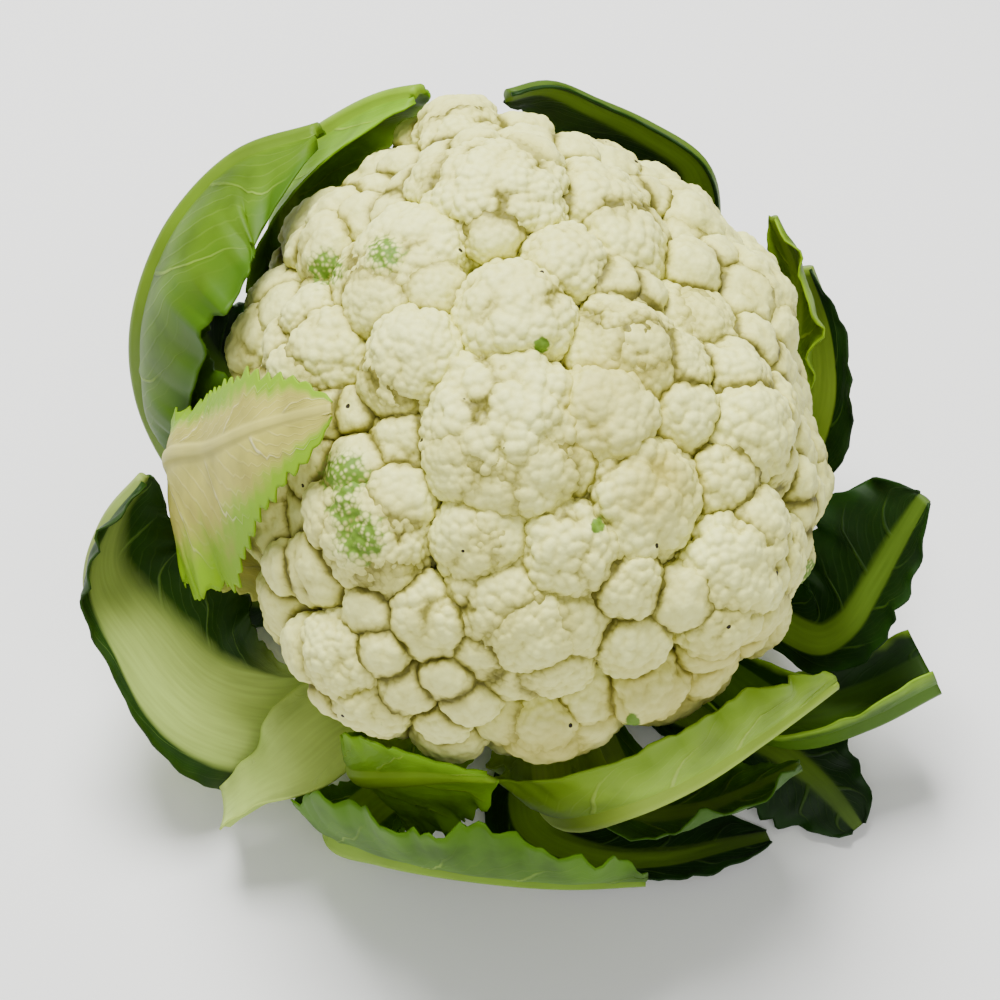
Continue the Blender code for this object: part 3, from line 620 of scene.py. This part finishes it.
# path: the midrib as azimuth, distance from the stem's axis and height; left and right: half widths;
# curl: the angles at which each half blade leaves the midrib and ends, towards the head, left then right;
# tipCurl: the same at the tip; rib: the midrib's widths and thicknesses; ribFade: how fast its colour ends;
# wave: waves along the edge and their height; clear: gap to the head; rows and columns: mesh;
# teeth: pitch and depth of the edge's teeth.
leaves = {
    "leaf_upper_left": dict(
        path=[(-101, 25.5, 19), (-101, 62, 24), (-102, 97, 49), (-105, 112, 82), (-109, 113, 108),
              (-117, 109, 128), (-127, 100, 142), (-136, 84, 152)],
        left=[9, 11, 22, 24, 22, 16, 10, 6], right=[9, 10, 9, 15, 33, 50, 47, 30],
        curl=(10, 40, 6, 62), rib=([17, 14, 11, 8, 5], [9, 8, 6, 4, 3]), wave=(5, 3.0), clear=4.0,
        rows=120, columns=26, veins=7, teeth=(7.0, 1.8), ruffle=1.3, look="wrapper", slot="leaf"),
    "leaf_top_left": dict(
        path=[(-139, 25.5, 31), (-141, 60, 35), (-139, 91, 60), (-137, 106, 90), (-138, 106, 112),
              (-141, 102, 126), (-146, 94, 139), (-152, 83, 152), (-155.5, 77, 157)],
        left=[8, 10, 20, 26, 26, 26, 26, 22, 10], right=[8, 10, 22, 31, 34, 34, 30, 22, 10],
        curl=(10, 60, 25, 50), rib=([16, 12, 8, 5], [8, 6, 4, 2.5]), wave=(4, 2.0), clear=1.5,
        rows=96, columns=20, veins=7, teeth=(6.0, 1.0), ruffle=0.9, look="bright", slot="leaf"),
    "leaf_pale": dict(
        path=[(-80, 25.5, 31), (-84, 62, 38), (-90, 93, 62), (-90, 100, 84), (-85, 98, 102),
              (-76, 85, 122), (-65, 71, 144), (-54, 61, 158)],
        left=[7, 8, 8, 8, 10, 14, 14, 6], right=[7, 9, 18, 28, 37, 35, 21, 7],
        curl=(4, 22, 0, 12), tipCurl=(4, 22, 6, 34), rib=([12, 7, 4, 2], [5, 3, 1.8, 1.2]), wave=(9, 1.2),
        clear=1.2, rows=176, columns=20, veins=7, teeth=(4.4, 3.2), ruffle=1.2, look="cream",
        slot="pale_leaf"),
    "leaf_left": dict(
        path=[(-61, 25.5, 7), (-60, 60, 11), (-60, 86, 20), (-65, 104, 33), (-73, 115, 50),
              (-80, 122, 63), (-84, 117, 76), (-87, 107, 87)],
        left=[7, 10, 13, 24, 36, 37, 29, 11], right=[7, 9, 12, 22, 18, 14, 16, 10],
        curl=(10, 58, -30, -55), tipCurl=(10, 74, 0, 30),
        rib=([13, 19, 27, 26, 14, 5], [9, 11, 12, 11, 5, 2.5]), ribFade=3.0, wave=(4, 3.0), clear=6.0,
        rows=104, columns=22, veins=8, teeth=(8.0, 1.4), ruffle=1.3, look="stalked", slot="leaf"),
    "stalk_front_left": dict(
        path=[(-43, 25.5, 19), (-46, 55, 28), (-48, 80, 34), (-48, 95, 32), (-50, 106, 26),
              (-51, 113, 20)],
        left=[9, 10, 14, 15, 12, 9], right=[9, 10, 14, 15, 12, 9],
        curl=(0, 20, 0, 20), rib=([17, 19, 13], [8, 8, 4]), wave=(2, 0.6), clear=3.0,
        rows=48, columns=6, veins=3, teeth=(9.0, 0.4), ruffle=0.3, look="stub", slot="stalk"),
    "leaf_front": dict(
        path=[(-27, 25.5, 7), (-32, 56, 8), (-37, 80, 8), (-36, 93, 15), (-26, 97, 28), (-11, 99, 37),
              (4, 103, 42), (15, 106, 42)],
        left=[6, 8, 8, 16, 36, 37, 29, 12], right=[6, 9, 12, 15, 14, 11, 7, 3],
        curl=(14, 64, -12, 10), rib=([11, 11, 8, 5], [8, 6, 4, 2.5]), wave=(5, 2.0), clear=3.0,
        rows=120, columns=16, veins=7, teeth=(5.6, 2.8), ruffle=1.4, look="front", slot="leaf"),
    "leaf_front_inner": dict(
        path=[(-31, 25.5, 31), (-33, 58, 35), (-35, 80, 42), (-32, 91, 52), (-25, 93, 64),
              (-16, 92, 74), (-8, 90, 80)],
        left=[6, 7, 7, 9, 14, 17, 8], right=[6, 8, 14, 23, 26, 22, 9],
        curl=(20, 70, -15, -35), rib=([9, 8, 5], [5, 3, 1.6]), wave=(5, 1.2), clear=1.5,
        rows=100, columns=16, veins=6, teeth=(5.0, 2.8), ruffle=1.4, look="bright", slot="leaf"),
    "leaf_front_right": dict(
        path=[(0, 25.5, 31), (2, 58, 33), (5, 84, 42), (14, 91, 56), (26, 93, 64), (37, 94, 69),
              (46, 96, 71), (52, 98, 71)],
        left=[7, 10, 18, 28, 30, 26, 18, 6], right=[7, 10, 16, 14, 12, 10, 8, 4],
        curl=(20, 70, -6, 14), rib=([12, 11, 7, 4], [7, 5, 3.5, 2]), wave=(5, 2.0), clear=1.5,
        rows=104, columns=22, veins=7, teeth=(6.0, 1.6), ruffle=2.6, look="light", slot="leaf"),
    "leaf_low_right": dict(
        path=[(20, 25.5, 19), (19, 56, 20), (21, 78, 23), (30, 87, 29), (39, 93, 36), (46, 98, 41)],
        left=[8, 10, 14, 20, 20, 10], right=[8, 9, 12, 18, 16, 7],
        curl=(8, 40, -10, 4), rib=([14, 9, 4], [7, 4.5, 2]), wave=(4, 2.2), clear=4.0,
        rows=64, columns=14, veins=8, teeth=(4.5, 1.3), ruffle=1.0, look="mid", slot="leaf"),
    "leaf_floor_front": dict(
        path=[(1, 25.5, 6), (-2, 48, 6), (-1, 68, 5), (11, 78, 4), (25, 85, 3), (37, 91, 3),
              (43, 96, 3)],
        left=[5, 8, 13, 12, 9, 9, 6], right=[7, 12, 14, 18, 20, 16, 7],
        curl=(0, -6, 0, -6), rib=([13, 9, 4], [5, 4, 1.8]), wave=(3, 1.4), clear=8.0,
        rows=64, columns=12, veins=7, teeth=(9.0, 2.2), ruffle=0.8, look="dark", slot="dark_leaf"),
    "leaf_floor_right": dict(
        path=[(48, 25.5, 7), (53, 56, 9), (56, 80, 11), (55, 99, 9), (53, 114, 5)],
        left=[7, 9, 15, 19, 8], right=[7, 9, 13, 15, 7],
        curl=(0, -8, 0, -8), rib=([13, 8, 3], [6, 4, 1.8]), wave=(3, 1.8), clear=8.0,
        rows=64, columns=14, veins=7, teeth=(9.0, 2.4), ruffle=1.0, look="dark", slot="dark_leaf"),
    "stalk_right": dict(
        path=[(62, 25.5, 19), (60, 58, 20), (58, 88, 24), (64, 102, 30), (71, 117, 37)],
        left=[9, 10, 15, 17, 17], right=[9, 10, 15, 17, 16],
        curl=(16, 66, 16, 66), rib=([17, 16, 15], [7, 6, 5]), wave=(2, 0.6), clear=3.0,
        rows=56, columns=10, veins=3, teeth=(9.0, 0.3), ruffle=0.3, look="trough", slot="stalk"),
    "leaf_right": dict(
        path=[(88, 25.5, 31), (78, 60, 36), (70, 86, 43), (71, 91, 52), (75, 95, 64), (79, 99, 76),
              (83, 104, 88)],
        left=[7, 8, 8, 9, 12, 10, 4], right=[7, 8, 11, 17, 22, 25, 14],
        curl=(-30, -40, 34, 62), rib=([13, 8, 4], [6, 4, 2]), wave=(4, 2.0), clear=2.5,
        rows=80, columns=18, veins=8, teeth=(9.0, 2.4), ruffle=1.2, look="dark", slot="dark_leaf"),
    "leaf_right_back": dict(
        path=[(108, 25.5, 19), (111, 62, 23), (113, 83, 40), (117, 93, 58), (125, 99, 75),
              (132, 101, 88)],
        left=[8, 9, 12, 14, 12, 7], right=[8, 9, 12, 13, 11, 7],
        curl=(4, -6, 6, 20), rib=([16, 12, 11], [8, 6, 4]), wave=(4, 2.6), clear=5.0,
        rows=64, columns=10, veins=7, teeth=(8.0, 2.0), ruffle=1.2, look="scarred", slot="dark_leaf"),
    "leaf_right_inner": dict(
        path=[(128, 25.5, 31), (128, 60, 39), (125, 84, 61), (126, 92, 80), (130, 94.5, 97),
              (136, 94.5, 110)],
        left=[7, 8, 14, 17, 16, 7], right=[7, 8, 12, 14, 12, 5],
        curl=(4, 34, 4, 24), rib=([12, 7, 3], [6, 3, 1.6]), wave=(7, 1.6), clear=1.2,
        rows=72, columns=12, veins=8, teeth=(4.0, 1.3), ruffle=1.2, look="lime", slot="leaf"),
    "leaf_back_right": dict(
        path=[(160, 25.5, 19), (158, 66, 24), (153, 98, 50), (152, 106, 78), (155, 108.5, 98),
              (163, 108, 107), (171, 105.5, 116), (179, 103, 125), (185, 98, 127)],
        left=[8, 10, 14, 10, 7, 6, 6, 5, 4], right=[8, 10, 18, 26, 28, 26, 24, 18, 8],
        curl=(6, 20, 6, 40), rib=([16, 13, 9, 5], [8, 6, 4, 2.5]), wave=(4, 2.0), clear=3.0,
        rows=80, columns=14, veins=9, teeth=(8.0, 1.8), ruffle=1.0, look="dark", slot="dark_leaf"),
    "leaf_back": dict(
        path=[(-169, 25.5, 7), (-170, 66, 11), (-170, 98, 30), (-170, 112, 60), (-168, 112, 88)],
        left=[7, 10, 24, 30, 10], right=[7, 9, 22, 30, 10],
        curl=(6, 40, 6, 40), rib=([14, 12, 5], [9, 6, 2.5]), wave=(4, 2.4), clear=9.0,
        rows=64, columns=12, veins=8, teeth=(7.0, 1.6), ruffle=1.2, look="mid", slot="leaf"),
    "leaf_back_left": dict(
        path=[(-130, 25.5, 7), (-129, 66, 11), (-126, 98, 28), (-122, 114, 52), (-121, 117, 76)],
        left=[7, 10, 24, 28, 10], right=[7, 10, 20, 24, 9],
        curl=(4, 34, 4, 34), rib=([14, 12, 5], [9, 6, 2.5]), wave=(4, 2.4), clear=15.0,
        rows=64, columns=12, veins=8, teeth=(7.0, 1.6), ruffle=1.2, look="dark", slot="dark_leaf"),
    "leaf_floor_left": dict(
        path=[(-95, 25.5, 7), (-95, 58, 8), (-95, 82, 8), (-94, 100, 6)],
        left=[6, 9, 16, 8], right=[6, 9, 12, 7],
        curl=(0, -6, 0, -6), rib=([10, 8, 4], [6, 4, 2]), wave=(3, 1.4), clear=10.0,
        rows=40, columns=8, veins=6, teeth=(9.0, 2.0), ruffle=0.8, look="dark", slot="dark_leaf"),
}

# colours of the lamina inside and outside, of veins, rib and edge; pale: how far up the blade the pale
# base runs; veined: how much the veins show; edgeFrom: where the edge colour starts
lookParts = ("inside", "outside", "vein", "rib", "edge", "pale", "veined", "edgeFrom")
leafLooks = {
    # wrapper: its edge colour is darkened as painted shade along the blade's edges
    "wrapper": ("#365400", "#4A6A02", "#84A03A", "#6C8820", "#3C6000", 0.15, 0.7, 1.05),
    "bright": ("#547E00", "#648E04", "#98B238", "#84A220", "#70A000", 0.2, 0.6, 1.05),
    "cream": ("#BEB648", "#BAB450", "#E4E0A0", "#C8C268", "#7EA804", 0.4, 0.95, 0.85),
    # stalked: a dark blade green, its inside and outside darkened further as painted shade for the blade
    # that lies in shade beside the head
    "stalked": ("#1E3A0A", "#183404", "#6A8A3A", "#C4DC70", "#223C06", 0.36, 0.5, 1.05),
    "stub": ("#BCD46C", "#A6C054", "#CADC8C", "#BCD46C", "#B4CC60", 0.5, 0.2, 1.05),
    "front": ("#386000", "#426802", "#8AA83C", "#88AA30", "#4C7604", 0.2, 0.6, 1.05),
    "light": ("#548200", "#84A62C", "#B6CC60", "#A6C048", "#729416", 0.3, 0.5, 0.95),
    "mid": ("#284A00", "#325804", "#708640", "#6A8230", "#365A06", 0.15, 0.45, 1.05),
    # dark: a dark leaf green, darkened further to near black as painted shade for the leaves that lie in
    # shadow under and behind the head
    "dark": ("#0A2400", "#122E00", "#46641A", "#668428", "#103000", 0.15, 0.4, 1.05),
    "scarred": ("#0A2400", "#142E02", "#46641A", "#9AB83A", "#102802", 0.3, 0.4, 1.05),
    "trough": ("#143200", "#42640A", "#3E5E0A", "#42640A", "#7AA020", 0.0, 0.3, 1.05),
    "lime": ("#425C02", "#587606", "#8A9E2C", "#7C9434", "#789A0C", 0.1, 0.5, 1.05),
}

# blade: its thickness; thinning, lobes and quilt: shares of it, of the width and in millimetres;
# veinSweep: how far veins bend to the tip; ruffleLengths: of the edge's long and short ruffles.
leafBuild = {
    "blade": 1.0, "thinning": 0.45, "floorGap": 0.5, "curlFromBase": 4.0, "ribColumns": 9, "ribFade": 9.0,
    "lobes": (3, 5, 8, 13), "lobeShare": 0.16, "lobeWidth": 12, "roundedFrom": 0.92, "narrowest": 0.8,
    "veinSweep": 0.16, "veinWidth": 1.3, "veinOutside": 0.55, "veinInside": 0.2, "quilt": 0.9,
    "ruffleLengths": (13.0, 5.5), "shortRuffle": 0.35,
    "clouds": 70.0, "streaks": (900.0, 60.0, 1.0),  # colour patterns per metre
    "roughness": 0.55, "specular": 0.18, "relief": 0.5, "reliefDepth": 0.0005,
}


def cubicThrough(stations, values, share):
    # smooth curve through the values, its slopes taken from their neighbours
    slope = np.gradient(values, stations, axis=0)
    i = np.clip(np.searchsorted(stations, share, side="right") - 1, 0, len(stations) - 2)
    span = (stations[i + 1] - stations[i])[:, None]
    t = (share[:, None] - stations[i][:, None]) / span
    return (
        values[i] * (2 * t ** 3 - 3 * t ** 2 + 1) + values[i + 1] * (3 * t ** 2 - 2 * t ** 3)
        + slope[i] * span * (t ** 3 - 2 * t ** 2 + t) + slope[i + 1] * span * (t ** 3 - t ** 2))


def evenly(values, share):
    # the curve through values at even stations
    v = np.array(values, float)[:, None]
    return cubicThrough(np.linspace(0, 1, len(v)), v, share)[:, 0]


def midribOf(path, share):
    # the curve through stations given as azimuth, distance and height, by length, and its length
    p = np.array([(r * math.sin(math.radians(a)), -r * math.cos(math.radians(a)), z) for a, r, z in path])
    steps = np.linalg.norm(np.diff(p, axis=0), axis=1)
    return cubicThrough(np.concatenate([[0], np.cumsum(steps)]) / steps.sum(), p, share), steps.sum()


def unit(v):
    return v / np.linalg.norm(v, axis=-1, keepdims=True)


def leafSurface(name, leaf):
    # rows run from base to tip and columns from the left edge over the rib to the right edge;
    # each half blade is an arc across the midrib, with waves that grow to the edge
    rng = np.random.default_rng(abs(sum(ord(c) * (k + 3) for k, c in enumerate(name))))
    s = np.linspace(0, 1, leaf["rows"] + 1)
    mid, length = midribOf(leaf["path"], s)
    tangent = unit(np.gradient(mid, axis=0))
    outward = headNormal(mid)
    normal = unit(outward - (outward * tangent).sum(1, keepdims=True) * tangent)
    side = np.cross(tangent, normal)
    ribHalf = (evenly(leaf["rib"][0], s) / 2)[:, None]
    ribThick = evenly(leaf["rib"][1], s)[:, None]
    spread = np.linspace(1, 2, leaf["columns"] + 1)
    ribSpan = np.linspace(-1, 1, leafBuild["ribColumns"])
    c = np.concatenate([-spread[::-1], ribSpan[1:-1], spread])[None, :]
    left = c < 0
    sign = np.where(left, -1.0, 1.0)
    inRib = np.minimum(np.abs(c), 1.0)
    inBlade = np.maximum(np.abs(c) - 1.0, 0.0)
    along = s[:, None]

    def outline(values, seed):
        # half width with lobes, teeth and a rounded tip
        half = np.maximum(evenly(values, s)[:, None], ribHalf + 1)
        waves = np.random.default_rng(seed)
        pitch, depth = leaf["teeth"]
        lobes = sum(waves.uniform(0.25, 1) * np.sin(2 * math.pi * (k * along + waves.uniform()))
                    for k in leafBuild["lobes"]) / len(leafBuild["lobes"])
        saw = (along * length / pitch + 0.3 * np.sin(17 * along + seed)) % 1
        teeth = depth * (np.minimum(saw * 1.4, (1 - saw) * 3.5) - 0.6) * waves.uniform(0.7, 1.0)
        wide = np.clip((half - ribHalf) / leafBuild["lobeWidth"], 0, 1)
        tip = 1.0
        if leaf["slot"] != "stalk":
            nearTip = np.clip((along - leafBuild["roundedFrom"]) / (1 - leafBuild["roundedFrom"]), 0, 1)
            tip = np.sqrt(1 - 0.97 * nearTip ** 2)
        blade = (half - ribHalf) * (1 + leafBuild["lobeShare"] * lobes * wide) + teeth * wide
        blade = np.maximum(blade, leafBuild["narrowest"])
        return half, ribHalf + blade * tip, wide

    leftHalf, leftEdge, leftWide = outline(leaf["left"], 3 + len(name))
    rightHalf, rightEdge, rightWide = outline(leaf["right"], 8 + len(name))
    half = np.where(left, leftHalf, rightHalf)
    edge = np.where(left, leftEdge, rightEdge)
    wide = np.where(left, leftWide, rightWide)
    grown = np.minimum(1, leafBuild["curlFromBase"] * along)
    late = np.clip(2 * along - 1, 0, 1)
    low = np.radians(leaf["curl"])
    more = np.radians(leaf.get("tipCurl", leaf["curl"])) - low
    start, end = (
        np.where(left, low[i], low[i + 2]) * grown + np.where(left, more[i], more[i + 2]) * late
        for i in (0, 1))
    reach = inRib * ribHalf + inBlade * (edge - ribHalf)
    bend = (end - start) / half
    bend = np.where(np.abs(bend) < 1e-5, 1e-5, bend)
    angle = start + bend * reach
    sideways = (np.sin(angle) - np.sin(start)) / bend
    inwards = (np.cos(start) - np.cos(angle)) / bend

    # veins leave the midrib in turn on each side and bend towards the tip
    phase = leaf["veins"] * (along - leafBuild["veinSweep"] * inBlade ** 1.2) + np.where(left, 0.5, 0.0)
    phase = phase + 0.10 * np.sin(5 * inBlade + 9 * along + rng.uniform(0, 6))
    offVein = np.abs(phase - np.round(phase))
    fade = np.clip(1 - inBlade, 0, 1) * np.clip(inBlade * 12, 0, 1)
    veinRidge = np.exp(-(offVein * length / leaf["veins"] / leafBuild["veinWidth"]) ** 2) * fade * wide
    quilt = np.sin(math.pi * offVein) ** 2 * np.sin(math.pi * np.clip(inBlade, 0, 1)) * wide

    waves, waveHeight = leaf["wave"]
    ripple = waveHeight * inBlade ** 2 * np.sin(2 * math.pi * waves * along + np.where(left, 1.7, 0.0))
    ripple = ripple * np.minimum(1, 3 * along) * wide
    small = leaf["ruffle"] * inBlade ** 3 * wide
    longTurns, shortTurns = (2 * math.pi * (length / pitch) for pitch in leafBuild["ruffleLengths"])
    ripple = ripple + small * np.sin(longTurns * along + 3 * np.sin(7 * along) + sign)
    shortRipple = np.sin(shortTurns * along + 2 * np.sin(11 * along) - sign)
    ripple = ripple + leafBuild["shortRuffle"] * small * shortRipple
    lift = inwards + ripple - leafBuild["quilt"] * quilt

    across = side[:, None, :] * sign[..., None]
    inner = (
        mid[:, None, :] + across * (sideways - ripple * np.sin(angle))[..., None]
        - normal[:, None, :] * (inwards + (lift - inwards) * np.cos(angle))[..., None])
    q = inner - head["centre"]
    r = np.linalg.norm(q, axis=-1, keepdims=True)
    k = np.linalg.norm(q / headHalves(q[..., 2]), axis=-1, keepdims=True)
    short = leaf["clear"] - (r - r / k)
    inner = inner + q / r * 0.5 * (short + np.sqrt(short ** 2 + 4))
    face = unit(np.cross(np.gradient(inner, axis=1), np.gradient(inner, axis=0)))
    blade = leafBuild["blade"] * (1 - leafBuild["thinning"] * inBlade)
    thickness = blade + (ribThick - leafBuild["blade"]) * np.sqrt(1 - inRib ** 2)
    thickness = thickness + leafBuild["veinOutside"] * veinRidge
    outer = inner + face * thickness[..., None]
    inner = inner + face * (leafBuild["veinInside"] * veinRidge)[..., None]
    sunk = np.maximum(0, leafBuild["floorGap"] - np.minimum(outer[..., 2], inner[..., 2]))
    inner[..., 2] += sunk
    outer[..., 2] += sunk
    full = np.broadcast_to(inBlade, inner.shape[:2])
    ribness = np.clip(1.25 - inRib * 0.45 - inBlade * leaf.get("ribFade", leafBuild["ribFade"]), 0, 1)
    ribness = ribness * (1 - 0.55 * np.clip(2 * along - 0.8, 0, 1))
    millimetres = np.stack([sign * reach, np.broadcast_to(along * length, reach.shape)], -1)
    veinMap = np.stack([phase, full], -1)
    attributes = {"rim": full, "rib": ribness, "run": np.broadcast_to(along, full.shape)}
    return inner, outer, attributes, millimetres, veinMap


def closedSheet(inner, outer):
    # triangles of the solid between two grids, split alike on both faces
    rows, columns = inner.shape[:2]
    count = rows * columns
    n = np.arange(count).reshape(rows, columns)
    sheet = quadFaces(n[:-1, :-1], n[1:, :-1], n[1:, 1:], n[:-1, 1:])
    rim = np.concatenate([n[0], n[1:, -1], n[-1, -2::-1], n[-2:0:-1, 0]])
    ahead = np.roll(rim, -1)
    walls = np.concatenate([
        np.stack([rim, ahead, rim + count], -1), np.stack([ahead, ahead + count, rim + count], -1)])
    points = np.concatenate([inner.reshape(-1, 3), outer.reshape(-1, 3)])
    return points, np.concatenate([sheet, sheet[:, ::-1] + count, walls])


def leafFinish(name, look, veins, length):
    # Brassica leaf: waxy skin, satin, dark green lamina with pale raised veins, paler underneath,
    # running out to a pale base along a thick fleshy rib.
    material, add, shader = newMaterial(name + "Skin")
    place = add("TexCoord", output="Object")
    rib, rim, run, back = (
        add("Attribute", {"attribute_name": value}, output="Fac")
        for value in ("rib", "rim", "run", "outerFace"))
    sheet, veinMap = (add("UVMap", {"uv_map": value}) for value in ("sheet", "veinMap"))
    cloud = add("TexNoise", {}, {"Vector": place, "Scale": leafBuild["clouds"], "Detail": 3.0})

    # side veins: thin lines where the vein phase is whole, thinner towards the edge, with finer ones between
    phase = add("SeparateXYZ", {}, {0: veinMap})
    across = phase.node.outputs[1]
    phase = add("Math", timesPlus, (cloud, 0.08, phase))
    wave = add("Math", foldBack, (phase, 0.5))
    width = add("MapRange", {}, (across, 0.0, 1.0, 1.0 * veins / length, 0.3 * veins / length))
    vein = add("Math", {"operation": "DIVIDE"}, (wave, width))
    vein = add("MapRange", smooth, (vein, 0.3, 1.1, 1.0, 0.0))
    branch = add("Math", timesPlus, (across, -0.7, phase))
    branch = add("Math", times, (branch, 4.0))
    branch = add("Math", foldBack, (branch, 0.5))
    branch = add("MapRange", smooth, (branch, 0.02, 0.12, 0.2, 0.0))
    lines = add("Math", larger, (vein, branch))
    for value, near, far in ((rib, 0.0, 0.4), (rim, 0.45, 0.85)):  # none on the rib and at the edge
        away = add("MapRange", {}, (value, near, far, 1.0, 0.0))
        lines = add("Math", times, (lines, away))
    patchy = add("MapRange", smooth, (cloud, 0.36, 0.6, 0.25 * look["veined"], look["veined"]))
    shown = add("Math", times, (lines, patchy))

    # the skin's colour in patches, its edge and its veins, then the pale rib and base with fine stripes
    colour = add("Mix", colourMix, {0: back, 6: linear(look["inside"]), 7: linear(look["outside"])}, 2)
    blotch = add("MapRange", {}, (cloud, 0.3, 0.7, 0.72, 1.28))
    colour = add("VectorMath", scaled, {0: colour, "Scale": blotch})
    edge = add("Math", plus, (rim, cloud))
    edge = add("MapRange", smooth, (edge, look["edgeFrom"], look["edgeFrom"] + 0.45))
    for share, tint in ((edge, "edge"), (shown, "vein")):
        colour = add("Mix", colourMix, {0: share, 6: colour, 7: linear(look[tint])}, 2)
    base = add("MapRange", smooth, (run, look["pale"] * 0.5, look["pale"] + 0.12, 1.0, 0.0))
    pale = add("Math", larger, (rib, base))
    streak = add("Mapping", {}, {"Vector": sheet, "Scale": leafBuild["streaks"]})
    streak = add("TexNoise", {}, {"Vector": streak, "Scale": 1.0, "Detail": 1.0})
    stripe = add("MapRange", {}, (streak, 0.3, 0.7, 0.9, 1.07))
    stalk = add("VectorMath", scaled, {0: linear(look["rib"])[:3], "Scale": stripe})
    colour = add("Mix", colourMix, {0: pale, 6: colour, 7: stalk}, 2)
    bump = add("Bump", {}, {
        "Height": lines, "Strength": leafBuild["relief"], "Distance": leafBuild["reliefDepth"]})
    setInputs(shader, {"Base Color": colour, "Normal": bump, "Roughness": leafBuild["roughness"],
                       "Specular IOR Level": leafBuild["specular"]})
    return material


def buildLeaf(name, leaf):
    # one closed leaf from its two faces, the same values on both and a mark on the outer one
    inner, outer, attributes, millimetres, veinMap = leafSurface(name, leaf)
    points, faces = closedSheet(inner, outer)
    double = {key: np.concatenate([v.ravel(), v.ravel()]) for key, v in attributes.items()}
    half = inner.shape[0] * inner.shape[1]
    double["outerFace"] = np.concatenate([np.zeros(half), np.ones(half)])
    flat = millimetres.reshape(-1, 2) * mm
    phases = veinMap.reshape(-1, 2)
    uvs = {"sheet": np.concatenate([flat, flat]), "veinMap": np.concatenate([phases, phases])}
    length = millimetres[-1, 0, 1]
    material = leafFinish(name, dict(zip(lookParts, leafLooks[leaf["look"]])), leaf["veins"], length)
    makePiece(name + "_blade", points, faces, double, material, [name], uvs)
    return len(faces)


leafTriangles = sum(buildLeaf(name, leaf) for name, leaf in leaves.items())
print(f"leaves: {len(leaves)} with {leafTriangles} triangles")


# Floor and light

studio = {
    "floor": "#FAFAF8", "floorSize": 6, "floorRoughness": 0.7, "aim": (0, 0, 0.09),
    "world": "#FFFFFF", "worldStrength": 0.42,
    "key": {"place": (-0.12, 0.35, 1.0), "size": 0.45, "power": 22.0},
    "fill": {"place": (0.2, -0.9, 0.9), "size": 0.9, "power": 6.0},
}


def buildStudio():
    # a plain floor, two square lamps that face the head, and an even sky
    bpy.ops.mesh.primitive_plane_add(size=studio["floorSize"])
    floor = bpy.context.active_object
    floor.name = "floor"
    material, _, shader = newMaterial("paleFloor")
    setInputs(shader, {"Base Color": linear(studio["floor"]), "Roughness": studio["floorRoughness"]})
    floor.data.materials.append(material)
    for name in ("key", "fill"):
        spec = studio[name]
        lampData = bpy.data.lights.new(name, "AREA")
        lampData.size = spec["size"]
        lampData.energy = spec["power"]
        lamp = bpy.data.objects.new(name, lampData)
        lamp.location = spec["place"]
        lamp.rotation_euler = (Vector(studio["aim"]) - lamp.location).to_track_quat("-Z", "Y").to_euler()
        bpy.context.scene.collection.objects.link(lamp)
    world = bpy.data.worlds.new("studio")
    world.use_nodes = True
    setInputs(world.node_tree.nodes["Background"], (linear(studio["world"]), studio["worldStrength"]))
    bpy.context.scene.world = world
    print("floor and light set")


buildStudio()
